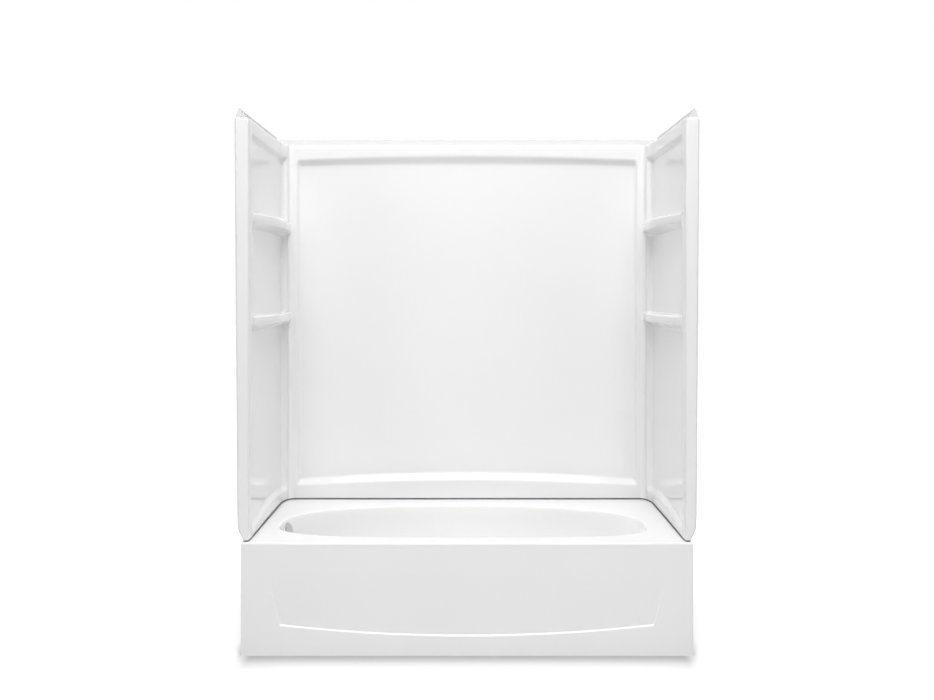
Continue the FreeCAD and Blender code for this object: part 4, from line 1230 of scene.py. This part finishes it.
def vector_result(tree, operation, *values):
    """A Vector Math node's result: a length, or else a vector."""
    numbered = {f"i{number}": value for number, value in enumerate(values)}
    outputs = add_node(tree, "ShaderNodeVectorMath", {"operation": operation}, **numbered).outputs
    return outputs["Value" if operation == "LENGTH" else "Vector"]


def faded(tree, value, start, end, low=0.0, high=1.0):
    """A value's way from start to end, as a number from low to high."""
    return add_node(tree, "ShaderNodeMapRange", Value=value, From_Min=start, From_Max=end,
                    To_Min=low, To_Max=high).outputs["Result"]


def seen_directly(tree):
    """1 for camera, glossy and transmission rays, and 0 for the light that falls on things."""
    path = tree.nodes.new("ShaderNodeLightPath").outputs
    both = calculated(tree, "MAXIMUM", path["Is Camera Ray"], path["Is Glossy Ray"])
    return calculated(tree, "MAXIMUM", both, path["Is Transmission Ray"])


print("helpers for sums ready")

# %% Pale floor that keeps the shadow
FLOOR_PALE = 0.7
# The floor's colour at the apron's foot, darkened there as a painted shadow.
FLOOR_PAINTED_SHADOW = 0.40
GLOW_AT_BATH = 0.6
GLOW_REACH = 0.6
BATH_HALVES = (0.762, BATH_DEPTH / 2000)
END_FADE = (0.73, 0.80)
PAINTED_SHADOW_FADE = (0.434, BATH_HALVES[1])
GLOW_FADE_FOR_PAINTED_SHADOW = (0.60, 0.42)

floor_mesh = bpy.data.meshes.new("pale_floor")
floor_mesh.from_pydata([(-30, -30, 0), (30, -30, 0), (30, 30, 0), (-30, 30, 0)], [], [(0, 1, 2, 3)])
floor = bpy.data.objects.new("pale_floor", floor_mesh)
bpy.context.scene.collection.objects.link(floor)

pale = bpy.data.materials.new("pale_floor")
pale.use_nodes = True
tree = pale.node_tree
tree.nodes.remove(tree.nodes["Principled BSDF"])
place = tree.nodes.new("ShaderNodeTexCoord").outputs["Object"]
direct = seen_directly(tree)
folded = vector_result(tree, "ABSOLUTE", place)
apart = add_node(tree, "ShaderNodeSeparateXYZ", Vector=folded).outputs
between_ends = faded(tree, apart["X"], *END_FADE, low=1.0, high=0.0)

# Painted shadow: for rays that look at the floor, its colour darkens towards the apron's foot, between the bath's
# ends.
painted_contact_shadow = calculated(tree, "MULTIPLY", between_ends, faded(tree, apart["Y"], *PAINTED_SHADOW_FADE))
painted_contact_shadow = calculated(tree, "MULTIPLY", painted_contact_shadow, direct)
floor_and_painted_shadow = tint(tree, painted_contact_shadow, [(0.0, (FLOOR_PALE,) * 3), (1.0, (FLOOR_PAINTED_SHADOW,) * 3)])
matt = add_node(tree, "ShaderNodeBsdfDiffuse", Color=floor_and_painted_shadow).outputs["BSDF"]

outside = vector_result(tree, "MAXIMUM", vector_result(tree, "SUBTRACT", folded, (*BATH_HALVES, 0)), (0, 0, 0))
glow = faded(tree, vector_result(tree, "LENGTH", outside), 0.0, GLOW_REACH, low=GLOW_AT_BATH)
# The glow fades out in front of the apron, so that the painted shadow there shows.
near = calculated(tree, "MULTIPLY", faded(tree, apart["Y"], *GLOW_FADE_FOR_PAINTED_SHADOW), between_ends)
glow = calculated(tree, "MULTIPLY", glow, calculated(tree, "SUBTRACT", 1.0, near))
glow = calculated(tree, "MULTIPLY", glow, direct)
lit = add_node(tree, "ShaderNodeEmission", Strength=glow).outputs["Emission"]
total = add_node(tree, "ShaderNodeAddShader", i0=matt, i1=lit).outputs["Shader"]
link_to(tree, tree.nodes["Material Output"], Surface=total)
floor_mesh.materials.append(pale)
print("floor glow near the bath", GLOW_AT_BATH)

# %% [markdown]
# ## Lamps
# The picture is lit from high in front: the deck is the brightest face, the apron a shade
# darker, and the undersides of the panels' borders darker still. One large lamp, high above
# the camera, does most of it. A weaker one overhead lifts the deck's rear, one at each side
# reaches the end panels, and a weak white world fills the shadows.

# %% Soft studio light
SKY_FILL = 0.165
LAMP_AIM = Vector((0, 0, 0.9))

world = bpy.data.worlds.new("studio")
bpy.context.scene.world = world
world.use_nodes = True
tree = world.node_tree
sky = tree.nodes["Background"]
sky.inputs["Color"].default_value = (1, 1, 1, 1)
link_to(tree, sky, Strength=spread(tree, seen_directly(tree), SKY_FILL, 1.0))


def soft_lamp(name, place, size, watts):
    """A square lamp that is aimed at the middle of the unit."""
    data = bpy.data.lights.new(name, "AREA")
    data.energy = watts
    data.size = size
    lamp = bpy.data.objects.new(name, data)
    lamp.location = place
    lamp.rotation_euler = (LAMP_AIM - Vector(place)).to_track_quat("-Z", "Y").to_euler()
    bpy.context.scene.collection.objects.link(lamp)


soft_lamp("high_front_lamp", (0, -2.6, 5.0), 3.0, 184)
soft_lamp("overhead_lamp", (0, -0.1, 4.2), 2.0, 26)
soft_lamp("left_side_lamp", (-3.6, -4.0, 2.8), 2.0, 38)
soft_lamp("right_side_lamp", (3.6, -4.0, 2.8), 2.0, 38)
bpy.context.scene.view_settings.view_transform = "Standard"
print("lamps:", [light.name for light in bpy.data.lights])
